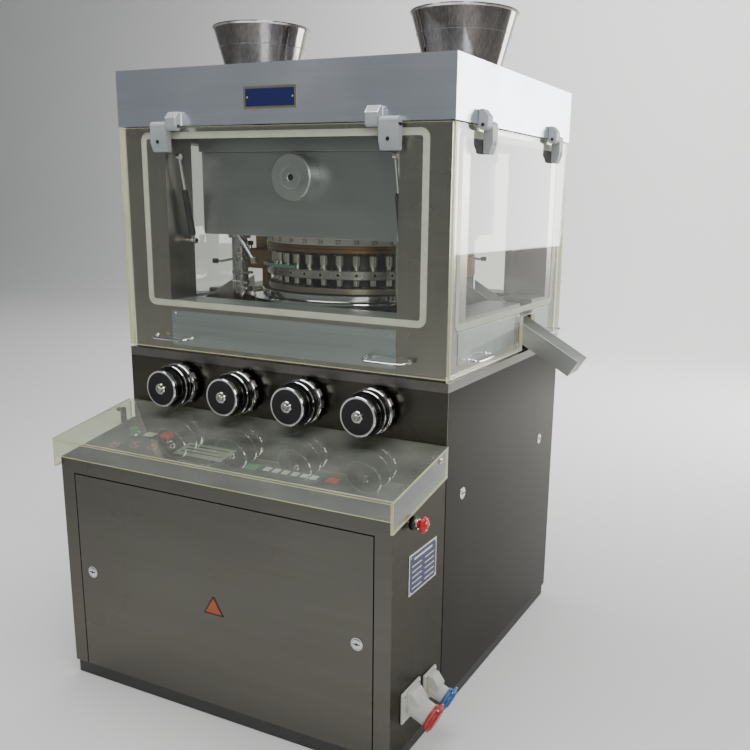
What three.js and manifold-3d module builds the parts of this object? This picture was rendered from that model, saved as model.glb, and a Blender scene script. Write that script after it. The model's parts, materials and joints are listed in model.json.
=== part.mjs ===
// A double-sided rotary tablet press: a stainless cabinet with a projecting control console,
// a glazed compression cabin with four lift-up doors, and a roof that carries two hoppers.
// Millimetres, +Z up. X runs across the front, Y runs from the console to the back.
// Working coordinates: x = 0 on the centre line, y = 0 on the cabinet's front face, z = 0 on the floor.
import * as THREE from "three";
import { mergeVertices } from "three/addons/utils/BufferGeometryUtils.js";
import Module from "manifold-3d";

const wasm = await Module();
wasm.setup();

// ---------------------------------------------------------------- driving dimensions
const gap = 0.3; // clearance between pieces that touch
const sheet = 3; // stainless sheet of the casings
const width = 950; // cabinet, cabin and roof, across
const depth = 806; // cabinet, cabin and roof, front to back
const consoleDepth = 262; // console's projection in front of the cabinet
const plinthHeight = 35;
const deckTop = 845; // top of the deck plate
const deckThickness = 22;
const roofBottom = 1415;
const roofTop = 1551;
const consoleFrontHeight = 600; // console's top plate at its front edge
const consoleBackHeight = 649; // and where it meets the cabinet
const doorThickness = 10; // acrylic cabin doors
const postWidth = 128; // cabin corner posts, across the front
const postDepth = 100;
const sillTop = 979; // window sills of the cabin
const pitchRadius = 225; // punch circle of the turret
const tableRadius = 249; // die table
const stations = 33; // punch stations
const knobHeight = 764; // axis of the adjuster knobs
const knobPlaces = [-291, -97, 97, 291];
const knobReach = 92; // knob face in front of the cabinet
const lockHeight = 556; // side panel locks
const frontLockHeight = 303;
const hopperPlace = 310; // hopper axes, left and right of the turret axis
const hopperRim = 1706;
const hopperRadius = 137;
const chuteReach = 632; // outer end of a discharge chute, from the centre line
const doorPivotY = -12; // hinge pins stand proud of the door's face
const doorPivotZ = 1413;
const strutPlace = 312; // gas struts, left and right of the centre line
const strutFoot = [82, 1132]; // y, z of the strut's lower pivot on the corner post
const strutHead = [38, 1343]; // y, z of the strut's upper pivot on the door
const coverPivot = [-50, 678]; // y, z of the console cover's pivot screws

// ---------------------------------------------------------------- values worked out from them
const halfWidth = width / 2;
const middle = depth / 2; // turret axis
const deckBottom = deckTop - deckThickness;
const consoleSlope = Math.atan2(consoleBackHeight - consoleFrontHeight, consoleDepth);
const coverFront = -consoleDepth - 14;
const bodyCentreY = (coverFront + depth) / 2;

// ---------------------------------------------------------------- materials
const metal = (color, roughness) => new THREE.MeshStandardMaterial({ color, roughness, metalness: 1 });
const plastic = (color, roughness) => new THREE.MeshStandardMaterial({ color, roughness, metalness: 0 });
const finish = {
  frame: metal(0x6c6f70, 0.55),
  steel: metal(0x77736c, 0.32),
  roof: metal(0xa9aeb6, 0.38),
  polished: metal(0xd8d8d8, 0.08),
  chrome: metal(0xdedede, 0.12),
  ground: metal(0x9c9c98, 0.3),
  bronze: metal(0x8d6a45, 0.42),
  cast: metal(0x55595a, 0.6),
  alloy: metal(0xaeb2b4, 0.45),
  blackKnob: plastic(0x121212, 0.35),
  acrylic: new THREE.MeshStandardMaterial({ color: 0xdfe6d4, roughness: 0.05, transparent: true, opacity: 0.3 }),
  red: plastic(0xb81d24, 0.35),
  green: plastic(0x2c8a4b, 0.35),
  blue: plastic(0x1f4f86, 0.4),
  socketGrey: plastic(0xb8b8ac, 0.5),
  motorPaint: plastic(0x3f5f7a, 0.5),
  beltRubber: plastic(0x1b1b1b, 0.8),
};

// ---------------------------------------------------------------- solids
// A closed three.js geometry as a manifold solid with its faces pointing out.
function solid(geometry) {
  geometry.deleteAttribute("normal");
  geometry.deleteAttribute("uv");
  const merged = mergeVertices(geometry, 1e-4);
  const triVerts = new Uint32Array(merged.index.array);
  const build = () => {
    const mesh = new wasm.Mesh({ numProp: 3, vertProperties: merged.attributes.position.array, triVerts });
    return new wasm.Manifold(mesh);
  };
  const made = build();
  if (made.volume() >= 0) return made;
  for (let i = 0; i < triVerts.length; i += 3) {
    [triVerts[i + 1], triVerts[i + 2]] = [triVerts[i + 2], triVerts[i + 1]];
  }
  return build();
}

const join = (...parts) => parts.reduce((whole, part) => whole.add(part));
const cut = (whole, ...parts) => parts.reduce((rest, part) => rest.subtract(part), whole);

function box(x0, x1, y0, y1, z0, z1) {
  const shape = new THREE.BoxGeometry(x1 - x0, y1 - y0, z1 - z0);
  shape.translate((x0 + x1) / 2, (y0 + y1) / 2, (z0 + z1) / 2);
  return solid(shape);
}

// A round bar along X, Y or Z between two values on that axis; centre is its place on the other two.
function bar(axis, centre, radius, from, to, sides = 24, endRadius = radius) {
  const shape = new THREE.CylinderGeometry(endRadius, radius, to - from, sides);
  if (axis === "x") shape.rotateZ(-Math.PI / 2);
  if (axis === "z") shape.rotateX(Math.PI / 2);
  const along = (from + to) / 2;
  if (axis === "x") shape.translate(along, centre[0], centre[1]);
  if (axis === "y") shape.translate(centre[0], along, centre[1]);
  if (axis === "z") shape.translate(centre[0], centre[1], along);
  return solid(shape);
}

// A body of revolution about Z through (x, y), from a closed outline of [radius, height] points.
function turned(outline, x = 0, y = 0, sides = 32) {
  const points = [...outline, outline[0]].map(([r, h]) => new THREE.Vector2(r, h));
  const shape = new THREE.LatheGeometry(points, sides);
  shape.rotateX(Math.PI / 2);
  shape.translate(x, y, 0);
  return solid(shape);
}

// A prism along X from a closed outline of [y, z] points.
function prismX(outline, x0, x1) {
  const shape = new THREE.Shape(outline.map(([y, z]) => new THREE.Vector2(y, z)));
  const body = new THREE.ExtrudeGeometry(shape, { depth: x1 - x0, bevelEnabled: false });
  body.applyMatrix4(new THREE.Matrix4().makeBasis(
    new THREE.Vector3(0, 1, 0),
    new THREE.Vector3(0, 0, 1),
    new THREE.Vector3(1, 0, 0),
  ));
  body.translate(x0, 0, 0);
  return solid(body);
}

// A prism along Y from a closed outline of [x, z] points.
function prismY(outline, y0, y1) {
  const shape = new THREE.Shape(outline.map(([x, z]) => new THREE.Vector2(x, z)));
  const body = new THREE.ExtrudeGeometry(shape, { depth: y1 - y0, bevelEnabled: false });
  body.rotateX(Math.PI / 2);
  body.translate(0, y1, 0);
  return solid(body);
}

const press = new THREE.Group();
const machine = new THREE.Group();
machine.position.set(0, -bodyCentreY, 0);
press.add(machine);

// Adds one piece to the press. A piece with a turn or a place of its own is modelled about its own origin.
function piece(name, body, material, place = [0, 0, 0], turn = [0, 0, 0]) {
  const data = body.getMesh();
  const positions = new Float32Array(data.numVert * 3);
  for (let i = 0; i < data.numVert; i++) {
    positions.set(data.vertProperties.subarray(i * data.numProp, i * data.numProp + 3), i * 3);
  }
  const geometry = new THREE.BufferGeometry();
  geometry.setAttribute("position", new THREE.BufferAttribute(positions, 3));
  geometry.setIndex(new THREE.BufferAttribute(new Uint32Array(data.triVerts), 1));
  geometry.computeVertexNormals();
  const mesh = new THREE.Mesh(geometry, material);
  mesh.name = name;
  mesh.position.set(...place);
  mesh.rotation.set(...turn);
  machine.add(mesh);
  return mesh;
}

// Turns a piece half a revolution about the turret axis: the press is the same on both sides.
const opposite = (mesh) => {
  mesh.rotation.z += Math.PI;
  mesh.position.set(-mesh.position.x, depth - mesh.position.y, mesh.position.z);
  return mesh;
};

// ---------------------------------------------------------------- base cabinet
function baseFrame() {
  const inset = 5;
  const rim = 60;
  const plate = 9;
  const top = plinthHeight - gap;
  const pocket = (y0, y1) => box(inset + rim - halfWidth, halfWidth - inset - rim, y0, y1, -1, top - plate);
  const plinth = cut(
    box(-halfWidth + inset, halfWidth - inset, inset - consoleDepth, depth - inset, 0, top),
    pocket(inset + rim - consoleDepth, bodyCentreY - rim / 2),
    pocket(bodyCentreY + rim / 2, depth - inset - rim),
  );
  const post = 50;
  const outer = halfWidth - 23;
  const front = 6;
  const back = depth - 23;
  const parts = [plinth];
  for (const x of [-outer, outer - post]) {
    for (const y of [front, back - post]) parts.push(box(x, x + post, y, y + post, top - 1, deckBottom - gap));
    parts.push(box(x, x + post, front, back, 790, deckBottom - gap));
  }
  for (const y of [front, back - post]) parts.push(box(-outer, outer, y, y + post, 790, deckBottom - gap));
  piece("base_frame", join(...parts), finish.frame);
}

// A casing panel pressed as a shallow pan: a face with its four edges folded in.
function pan(x0, x1, y0, y1, z0, z1, open) {
  const inner = {
    left: [x0 - 1, x1 - sheet, y0 + sheet, y1 - sheet],
    right: [x0 + sheet, x1 + 1, y0 + sheet, y1 - sheet],
    back: [x0 + sheet, x1 - sheet, y0 + sheet, y1 + 1],
    front: [x0 + sheet, x1 - sheet, y0 - 1, y1 - sheet],
  }[open];
  return cut(box(x0, x1, y0, y1, z0, z1), box(...inner, z0 + sheet, z1 - sheet));
}

function cabinetPanels() {
  const fold = 20;
  const low = plinthHeight;
  const high = deckBottom - gap;
  const y0 = sheet + 1;
  const hole = (y) => bar("x", [y, lockHeight], 9.5, halfWidth - 10, halfWidth + 5, 16);
  const right = cut(
    pan(halfWidth - fold, halfWidth, y0, depth, low, high, "left"),
    ...sideLockPlaces.map(hole),
  );
  piece("right_side_panel", right, finish.steel);
  piece("left_side_panel", pan(-halfWidth, fold - halfWidth, y0, depth, low, high, "right"), finish.steel);
  const rear = pan(fold - halfWidth + gap, halfWidth - fold - gap, depth - fold, depth, low, high, "front");
  piece("rear_panel", rear, finish.steel);
}

function fascia() {
  const bossRadius = 40;
  const bossReach = 13;
  let plate = box(-halfWidth, halfWidth, 0, sheet, consoleBackHeight + 1, deckBottom - gap);
  for (const x of knobPlaces) plate = plate.add(bar("y", [x, knobHeight], bossRadius, -bossReach, sheet, 20));
  for (const x of knobPlaces) plate = plate.subtract(bar("y", [x, knobHeight], 13, -50, 50, 12));
  piece("knob_fascia", plate, finish.steel);
}

function deck() {
  const plate = box(-halfWidth, halfWidth, 0, depth, deckBottom, deckTop);
  piece("deck_plate", cut(plate, bar("z", [0, middle], 60, deckBottom - 5, deckTop + 5, 32)), finish.ground);
}

// ---------------------------------------------------------------- console
// Height of the sloping console plate at a given y.
const onConsole = (y) => consoleFrontHeight + (y + consoleDepth) * Math.tan(consoleSlope);

const startPlace = [-388, -92];
const stopPlace = [-270, -98];
const emergencyPlace = [-165, 567]; // y, z of the emergency stop on the right side
const frontLockPlaces = [-391, 391];
const sideLockPlaces = [101, 675];
const openingHalf = 433;
const openingTop = 563;

function consoleBody() {
  const back = -gap;
  const low = plinthHeight;
  const outer = prismX(
    [[-consoleDepth, low], [back, low], [back, consoleBackHeight], [-consoleDepth, consoleFrontHeight]],
    -halfWidth, halfWidth,
  );
  const inner = prismX(
    [
      [sheet - consoleDepth, low - 1], [back + 1, low - 1],
      [back + 1, consoleBackHeight - sheet], [sheet - consoleDepth, consoleFrontHeight - sheet],
    ],
    sheet - halfWidth, halfWidth - sheet,
  );
  const doorway = box(-openingHalf, openingHalf, -consoleDepth - 1, sheet + 1 - consoleDepth, low - 1, openingTop);
  const stemHole = ([x, y]) => bar("z", [x, y], 10, onConsole(y) - 30, onConsole(y) + 30, 16);
  const stopHole = bar("x", emergencyPlace, 9, halfWidth - 10, halfWidth + 5, 16);
  const shell = cut(outer, inner, doorway, stemHole(startPlace), stemHole(stopPlace), stopHole);
  // Two ears hold the pivot pins of the acrylic cover.
  const ear = (x0, x1, pinEnd) => join(
    box(x0, x1, coverPivot[0] - 8, coverPivot[0] + 8, onConsole(coverPivot[0]) - 2, coverPivot[1]),
    bar("x", coverPivot, 8, x0, x1, 16),
    bar("x", coverPivot, 3, Math.min(x0, pinEnd), Math.max(x1, pinEnd), 12),
  );
  piece("console_body", join(shell, ear(464, 470, 484), ear(-470, -464, -484)), finish.steel);
}

function frontPanel() {
  const face = -consoleDepth;
  const panel = pan(-430, 430, face, face + 15, plinthHeight + 1, openingTop - 3, "back");
  const holes = frontLockPlaces.map((x) => bar("y", [x, frontLockHeight], 9.5, face - 5, face + 5, 16));
  piece("front_panel", cut(panel, ...holes), finish.steel);
}

// A quarter-turn lock: a domed slotted head, a barrel through the panel and a short cam inside the fold.
function quarterTurnLock() {
  const head = bar("y", [0, 0], 10, -4, -gap, 24, 12.5);
  const slot = box(-8, 8, -5, -2.5, -1.2, 1.2);
  const barrel = bar("y", [0, 0], 9, -1, 9, 16);
  const cam = box(-7, 7, 8, 11, -7, 9);
  return cut(join(head, barrel, cam), slot);
}

function locks() {
  const names = ["front_lock_left", "front_lock_right"];
  frontLockPlaces.forEach((x, i) => {
    piece(names[i], quarterTurnLock(), finish.chrome, [x, -consoleDepth, frontLockHeight]);
  });
  ["side_lock_front", "side_lock_rear"].forEach((name, i) => {
    piece(name, quarterTurnLock(), finish.chrome, [halfWidth, sideLockPlaces[i], lockHeight], [0, 0, Math.PI / 2]);
  });
}

// The acrylic cover of the control plate: a sloping lid with a front skirt and two deeper side skirts.
function consoleCover() {
  const side = halfWidth + 8;
  const wall = 6;
  const back = -8;
  const front = coverFront;
  const frontTop = consoleFrontHeight + 51;
  const rise = Math.tan(consoleSlope);
  const top = (y) => frontTop + (y - front) * rise;
  const skirt = 74;
  const outline = [[front, top(front) - skirt], [back, top(back) - skirt], [back, top(back)], [front, top(front)]];
  const hollow = [
    [front + wall, top(front) - skirt - 20], [back + 1, top(back) - skirt - 20],
    [back + 1, top(back) - wall], [front + wall, top(front + wall) - wall],
  ];
  const frontSkirt = consoleFrontHeight + 4; // the front skirt stops short of the console's edge
  const underFront = box(wall - side, side - wall, front - 1, front + wall + 1, 500, frontSkirt);
  const lid = cut(prismX(outline, -side, side), prismX(hollow, wall - side, side - wall), underFront);
  const pinHole = bar("x", coverPivot, 3.3, -side - 5, side + 5, 12);
  piece("console_cover", cut(lid, pinHole), finish.acrylic);
}

// A push button on the sloping plate: its cap stands clear of the plate by the travel, its stem goes through.
function pushButtons() {
  const button = (capRadius, capHeight) => join(
    bar("z", [0, 0], capRadius, 9, 9 + capHeight, 24, capRadius * 0.8),
    bar("z", [0, 0], 8, -14, 10, 16),
  );
  const turn = [consoleSlope, 0, 0];
  piece("start_button", button(13, 8), finish.green, [...startPlace, onConsole(startPlace[1])], turn);
  piece("stop_button", button(17, 12), finish.red, [...stopPlace, onConsole(stopPlace[1])], turn);
}

function emergencyStop() {
  const outline = [[0, gap], [8, gap], [8, 20], [16, 22], [17, 27], [12, 33], [0, 34]];
  const head = turned(outline, 0, 0, 20);
  piece("emergency_stop_head", head, finish.red, [halfWidth, ...emergencyPlace], [0, Math.PI / 2, 0]);
}

// ---------------------------------------------------------------- power sockets
const socketTilt = 0.42; // radians that a socket's mouth points below level
const sockets = {
  red: { y: -169, z: 141, flange: [45.5, 37.5], radius: 29, reach: 66 },
  blue: { y: -70, z: 131, flange: [32, 36], radius: 22, reach: 58 },
};

function powerSocket(name, spec, lidMaterial) {
  const { y, z, flange, radius, reach } = spec;
  const tube = (r, from, to) => {
    const shape = new THREE.CylinderGeometry(r, r, to - from, 20);
    shape.translate(0, (from + to) / 2, 0);
    shape.rotateZ(-Math.PI / 2);
    shape.rotateY(socketTilt);
    return solid(shape);
  };
  const wall = box(-80, 0, -80, 80, -80, 80);
  const plate = box(0.3, 6, -flange[0], flange[0], -flange[1], flange[1]);
  const shoulder = prismY([[5, -20], [30, -26], [36, 8], [5, flange[1] - 3]], -radius * 0.8, radius * 0.8);
  const body = cut(join(plate, shoulder, cut(tube(radius, -10, reach), wall)), tube(radius - 7, 28, reach + 1));
  piece(name + "_socket", body, finish.socketGrey, [halfWidth, y, z]);
  const lidRadius = radius + 3;
  const lid = join(
    tube(lidRadius, reach + gap, reach + 9),
    solid(new THREE.BoxGeometry(10, 22, 8).translate(reach + 5, 0, lidRadius + 2).rotateY(socketTilt)),
  );
  piece(name + "_socket_lid", lid, lidMaterial, [halfWidth, y, z]);
}

// ---------------------------------------------------------------- adjusters
function adjusters() {
  const spindle = 12;
  const profile = [
    [0, -70], [spindle, -70], [spindle, 38], [54, 38], [54, 58], [47, 58], [47, knobReach],
    [13, knobReach], [13, knobReach + 6], [7, knobReach + 6], [7, knobReach + 11], [0, knobReach + 11],
  ];
  const knob = turned(profile, 0, 0, 20);
  const notches = 8;
  let ring = turned([[13, 14], [56, 14], [56, 36], [13, 36]], 0, 0, 24);
  for (let i = 0; i < notches; i++) {
    const angle = (i / notches) * 2 * Math.PI;
    ring = ring.subtract(bar("z", [60 * Math.cos(angle), 60 * Math.sin(angle)], 7.5, 18, 40, 6));
  }
  knobPlaces.forEach((x, i) => {
    const place = [x, 0, knobHeight];
    piece(`adjuster_knob_${i + 1}`, knob, finish.blackKnob, place, [Math.PI / 2, 0, 0]);
    piece(`lock_ring_${i + 1}`, ring, finish.chrome, place, [Math.PI / 2, 0, 0]);
  });
}

// ---------------------------------------------------------------- cabin
const doorBottom = deckTop + 6;
const doorTop = doorPivotZ - 1;
const chuteSide = [490, 576]; // the right chute lies between these y values, walls included
const chuteMouth = 945; // top of the doorway that a chute leaves by

function cabinFrame() {
  const inset = doorThickness + 2;
  const outerX = halfWidth - inset;
  const innerX = outerX - postWidth;
  const frontY = inset;
  const low = deckTop + gap;
  const high = roofBottom - 3;
  const parts = [];
  const post = (x0, x1, y0, y1) => cut(
    box(x0, x1, y0, y1, low, high),
    box(x0 + sheet, x1 - sheet, y0 + sheet, y1 - sheet, low - 1, high + 1),
  );
  const back = depth - frontY;
  for (const [x0, x1] of [[-outerX, -innerX], [innerX, outerX]]) {
    parts.push(post(x0, x1, frontY, frontY + postDepth));
    parts.push(post(x0, x1, back - postDepth, back));
  }
  const railDrop = 24;
  const ledge = (x0, x1, y0, y1) => box(x0, x1, y0, y1, sillTop - sheet, sillTop);
  const reach = sheet; // the sills and rails lap into the posts' walls
  const spanX = innerX + reach;
  for (const [y0, y1] of [[frontY, frontY + postDepth], [back - postDepth, back]]) {
    const face = y0 === frontY ? [y0, y0 + sheet] : [y1 - sheet, y1];
    parts.push(ledge(-spanX, spanX, y0, y1), box(-spanX, spanX, ...face, low, sillTop));
    parts.push(box(-spanX, spanX, ...(y0 === frontY ? [y0, y0 + 30] : [y1 - 30, y1]), high - railDrop, high));
  }
  const y0 = frontY + postDepth - reach;
  const y1 = back - postDepth + reach;
  for (const sign of [-1, 1]) {
    const across = (a, b) => (sign > 0 ? [a, b] : [-b, -a]);
    const slot = sign > 0 ? chuteSide : [depth - chuteSide[1], depth - chuteSide[0]];
    for (const [a, b] of [[y0, slot[0] - 4], [slot[1] + 4, y1]]) {
      parts.push(ledge(...across(outerX - postDepth, outerX), a, b));
      parts.push(box(...across(outerX - sheet, outerX), a, b, low, sillTop));
    }
    parts.push(box(...across(outerX - 30, outerX), y0, y1, high - railDrop, high));
    parts.push(bar("x", strutFoot, 4, ...across(strutPlace - 8, innerX + 1), 12));
  }
  piece("cabin_frame", join(...parts), finish.steel);
}

function roof() {
  const shell = cut(
    box(-halfWidth, halfWidth, 0, depth, roofBottom, roofTop),
    box(sheet - halfWidth, halfWidth - sheet, sheet, depth - sheet, roofBottom - 1, roofTop - sheet),
    ...[-1, 1].map((side) => bar("z", [side * hopperPlace, middle], 94, roofTop - 20, roofTop + 5, 32)),
  );
  // Upper half of each door hinge: a tapered block on the roof with a round eye over the pin.
  const leaf = (x0, x1) => join(
    prismX([[0, doorPivotZ], [1, doorPivotZ + 3], [1, 1445], [-10, 1447], [-24, 1432], [-23, doorPivotZ]], x0, x1),
    bar("x", [doorPivotY, doorPivotZ], 11.3, x0, x1, 20),
  );
  const roofLeaves = [leaf(-299, -267), leaf(267, 299)];
  piece("roof_cover", join(shell, ...roofLeaves), finish.roof);
}

function doors() {
  const sheetOf = (x0, x1, y0, y1) => box(x0, x1, y0, y1, doorBottom, doorTop);
  piece("front_door", sheetOf(-halfWidth, halfWidth, 0, doorThickness), finish.acrylic);
  piece("rear_door", sheetOf(-halfWidth, halfWidth, depth - doorThickness, depth), finish.acrylic);
  const y0 = doorThickness + 0.5;
  const inner = halfWidth - doorThickness;
  const doorway = box(inner - 1, halfWidth + 1, chuteSide[0] - 5, chuteSide[1] + 5, doorBottom - 1, chuteMouth);
  const side = cut(sheetOf(inner, halfWidth, y0, depth - y0), doorway);
  piece("right_door", side, finish.acrylic);
  opposite(piece("left_door", side, finish.acrylic));
  // Lower half of each front hinge: a tapered block on the door, beside the roof's half.
  const leaf = (x0, x1) => join(
    prismX([[-gap, 1352], [-gap, doorPivotZ], [-23.5, doorPivotZ], [-24, 1374], [-15, 1352]], x0, x1),
    bar("x", [doorPivotY, doorPivotZ], 11.3, x0, x1, 20),
  );
  piece("door_hinge_left", leaf(-349, -300), finish.alloy);
  piece("door_hinge_right", leaf(300, 349), finish.alloy);
}

// A gas strut along its own Z: the cylinder's eye turns on the post's pin, and the rod slides in the cylinder.
function gasStruts() {
  const dy = strutHead[0] - strutFoot[0];
  const dz = strutHead[1] - strutFoot[1];
  const length = Math.hypot(dy, dz);
  const turn = [Math.atan2(-dy, dz), 0, 0];
  const eye = (z) => bar("x", [0, z], 8, -5, 5, 20);
  const cylinder = cut(
    join(eye(0), bar("z", [0, 0], 9, 6, 133, 20)),
    bar("x", [0, 0], 4.4, -6, 6, 16),
    bar("z", [0, 0], 4.5, 50, 140, 16),
  );
  const rod = join(eye(length), bar("z", [0, 0], 4, 60, length - 4, 16));
  for (const [side, x] of [["left", -strutPlace], ["right", strutPlace]]) {
    const place = [x, ...strutFoot];
    piece(`strut_cylinder_${side}`, cylinder, finish.blackKnob, place, turn);
    piece(`strut_rod_${side}`, rod, finish.chrome, place, turn);
  }
}

// ---------------------------------------------------------------- turret and its drive
const drumTop = 1004;
const shaftRadius = 35.5;

function camDrum() {
  const outline = [
    [38, deckTop + gap], [275, deckTop + gap], [275, 868], [256, 872], [256, 960], [262, 964],
    [262, drumTop], [38, drumTop],
  ];
  piece("cam_drum", turned(outline, 0, middle, 40), finish.cast);
}

function turret() {
  const bore = shaftRadius + 0.5;
  const core = 200;
  const outline = [
    [bore, 1005], [core, 1005], [core, 1043.5], [tableRadius, 1043.5], [tableRadius, 1066.5],
    [core, 1066.5], [core, 1129.5], [247, 1129.5], [247, 1147.5], [bore, 1147.5],
  ];
  piece("turret", turned(outline, 0, middle, 44), finish.ground);
}

// The punches of one side of the die table, held in their guide ring.
function punchRing(ringLow, ringHigh, from, to, tipRadius) {
  const parts = [turned([[201, ringLow], [246, ringLow], [246, ringHigh], [201, ringHigh]], 0, 0, 44)];
  for (let i = 0; i < stations; i++) {
    const angle = ((i + 0.5) / stations) * 2 * Math.PI;
    const centre = [pitchRadius * Math.cos(angle), pitchRadius * Math.sin(angle)];
    parts.push(bar("z", centre, tipRadius[0], from, to, 6, tipRadius[1]));
  }
  return join(...parts);
}

function punches() {
  const axis = [0, middle, 0];
  piece("upper_punch_ring", punchRing(1110, 1129, 1067, 1112, [10, 11]), finish.bronze, axis);
  piece("lower_punch_ring", punchRing(1005.5, 1021, 1019, 1043, [11, 10]), finish.ground, axis);
}

const wormHeight = 710;
const wormPlace = 259; // y of the worm, the drive pulley and the motor
const motorHeight = 180;
const pulleyPlane = [238, 282]; // x of the two pulleys' faces
const drivePulleyRadius = 100;
const motorPulleyRadius = 50;

function drive() {
  piece("main_shaft", bar("z", [0, middle], shaftRadius, 625, 1158, 28), finish.ground);

  const teeth = 24;
  let wheel = turned([[36, 690], [112, 690], [112, 730], [36, 730]], 0, middle, 48);
  for (let i = 0; i < teeth; i++) {
    const angle = (i / teeth) * 2 * Math.PI;
    const place = [114 * Math.cos(angle), middle + 114 * Math.sin(angle)];
    wheel = wheel.subtract(bar("z", place, 5, 680, 740, 4));
  }
  piece("worm_wheel", wheel, finish.bronze);

  const housing = cut(
    box(-185, 185, 209, 597, 600, deckBottom - gap),
    box(-173, 173, 221, 585, 612, 805),
    bar("z", [0, middle], 37, 500, deckTop, 24),
    bar("x", [wormPlace, wormHeight], 17, 150, 200, 24),
    bar("x", [wormPlace, wormHeight], 17, -200, -150, 24),
  );
  piece("gear_housing", housing, finish.cast);

  const sheave = (radius, bore) => [
    [bore, 0], [radius, 0], [radius, 9], [radius - 13, 16], [radius - 13, 28], [radius, 35], [radius, 44], [bore, 44],
  ];
  const wormBody = join(
    bar("z", [0, 0], 16, -195, pulleyPlane[1] + 2, 16),
    bar("z", [0, 0], 27, -70, 70, 20),
    turned(sheave(drivePulleyRadius, 15).map(([r, h]) => [r, h + pulleyPlane[0]]), 0, 0, 32),
  );
  piece("worm_shaft", wormBody, finish.ground, [0, wormPlace, wormHeight], [0, Math.PI / 2, 0]);

  const motor = join(
    bar("x", [wormPlace, motorHeight], 88, -40, 190, 24),
    bar("x", [wormPlace, motorHeight], 60, 189, 205, 20),
    box(-10, 160, wormPlace - 80, wormPlace + 80, plinthHeight, 120),
    box(30, 120, wormPlace - 45, wormPlace + 45, 240, 290),
    bar("x", [wormPlace, motorHeight], 14, 200, 284, 12),
  );
  piece("motor", motor, finish.motorPaint);
  const pulley = turned(sheave(motorPulleyRadius, 14.5), 0, 0, 24);
  const place = [pulleyPlane[0], wormPlace, motorHeight];
  piece("motor_pulley", pulley, finish.cast, place, [0, Math.PI / 2, 0]);
  vBelt();
}

// The belt is a loop of two half rounds and two tangents, clear of both grooves by a little.
function vBelt() {
  const loop = (extra) => {
    const big = drivePulleyRadius - 12 + extra;
    const small = motorPulleyRadius - 12 + extra;
    const rise = wormHeight - motorHeight;
    const lean = Math.asin((big - small) / rise);
    const path = new THREE.Path();
    path.absarc(0, rise, big, -lean, Math.PI + lean, false);
    path.absarc(0, 0, small, Math.PI + lean, 2 * Math.PI - lean, false);
    return path.getPoints(9);
  };
  const outline = new THREE.Shape(loop(9));
  outline.holes.push(new THREE.Path(loop(0)));
  const belt = new THREE.ExtrudeGeometry(outline, { depth: 10, bevelEnabled: false });
  belt.rotateX(Math.PI / 2);
  belt.rotateZ(Math.PI / 2);
  belt.translate((pulleyPlane[0] + pulleyPlane[1]) / 2 - 5, wormPlace, motorHeight);
  piece("v_belt", solid(belt), finish.beltRubber);
}

// ---------------------------------------------------------------- head over the turret
const headHalf = 289;
const headBottom = 1150;
const rollerPlace = [15, 1295]; // x, z of the pressure roller's shaft

function head() {
  const front = middle - 305;
  const seam = 1357;
  const top = roofBottom - 4;
  const wall = 12;
  const back = depth - front;
  const columns = [];
  for (const x of [-252, 252]) {
    for (const y of [middle - 203, middle + 203]) {
      columns.push(bar("z", [x, y], 22, deckTop + gap, headBottom + 4, 20));
      columns.push(bar("z", [x, y], 32, deckTop + gap, deckTop + 14, 20));
    }
  }
  const housing = cut(
    join(
      box(-headHalf, headHalf, front, back, headBottom, seam),
      box(-headHalf - 2.5, headHalf + 2.5, front - 9, back + 9, seam, top),
    ),
    box(wall - headHalf, headHalf - wall, front + wall, back - wall, headBottom + wall, top + 1),
    bar("z", [0, middle], 37, headBottom - 5, headBottom + 20, 24),
    bar("y", rollerPlace, 30.4, front - 5, front + 20, 24),
  );
  piece("head_housing", join(housing, ...columns), finish.cast);
  const shaft = cut(
    join(
      bar("y", rollerPlace, 57, front - 42, front - gap, 32),
      bar("y", rollerPlace, 30, front - 1, front + 130, 24),
    ),
    bar("y", rollerPlace, 8, front - 45, front - 25, 12),
  );
  piece("pressure_shaft", shaft, finish.ground);
  const roller = cut(
    bar("y", rollerPlace, 105, middle - pitchRadius - 22, middle - pitchRadius + 22, 36),
    bar("y", rollerPlace, 31, 0, middle, 24),
  );
  piece("pressure_roller", roller, finish.ground);
}

// ---------------------------------------------------------------- feeding and discharge
const ductTop = 1470; // the feed ducts stand under the hoppers' spouts

function hoppers() {
  const wall = 2;
  const spout = 14;
  const mouth = 91;
  const low = ductTop + 4;
  const outer = [[spout, low], [spout, low + 6], [mouth, roofTop - 2], [mouth, roofTop + gap], [mouth + 9, roofTop + gap]];
  const rim = [[mouth + 1, roofTop + 4], [hopperRadius - 3, hopperRim - 5], [hopperRadius, hopperRim]];
  const inner = [[hopperRadius - 5, hopperRim], [mouth - 2 - wall, roofTop + 2], [spout - wall, low + 6], [spout - wall, low]];
  const funnel = turned([...outer, ...rim, ...inner], 0, 0, 28);
  piece("hopper_left", funnel, finish.polished, [-hopperPlace, middle, 0]);
  piece("hopper_right", funnel, finish.polished, [hopperPlace, middle, 0]);
}

// A feeder: an open curved trough beside the die table, on a post from the deck, under a square duct.
function feeders() {
  const ring = (r0, r1, z0, z1) => turned([[r0, z0], [r1, z0], [r1, z1], [r0, z1]], 0, 0, 48);
  const window = (half) => box(150, 400, -half, half, 900, 1200);
  const trough = cut(
    ring(251, 336, 1048, 1100).intersect(window(104)),
    ring(255, 332, 1052, 1101).intersect(window(100)),
  );
  const duct = cut(
    box(hopperPlace - 17, 334, -19, 19, 1075, ductTop),
    box(hopperPlace - 14.5, 331.5, -16.5, 16.5, 1070, ductTop + 5),
  );
  const feeder = join(trough, duct, bar("z", [hopperPlace, 0], 14, deckTop + gap, 1050, 20));
  piece("feeder_right", feeder, finish.bronze, [0, middle, 0]);
  piece("feeder_left", feeder, finish.bronze, [0, middle, 0], [0, 0, Math.PI]);
}

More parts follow.
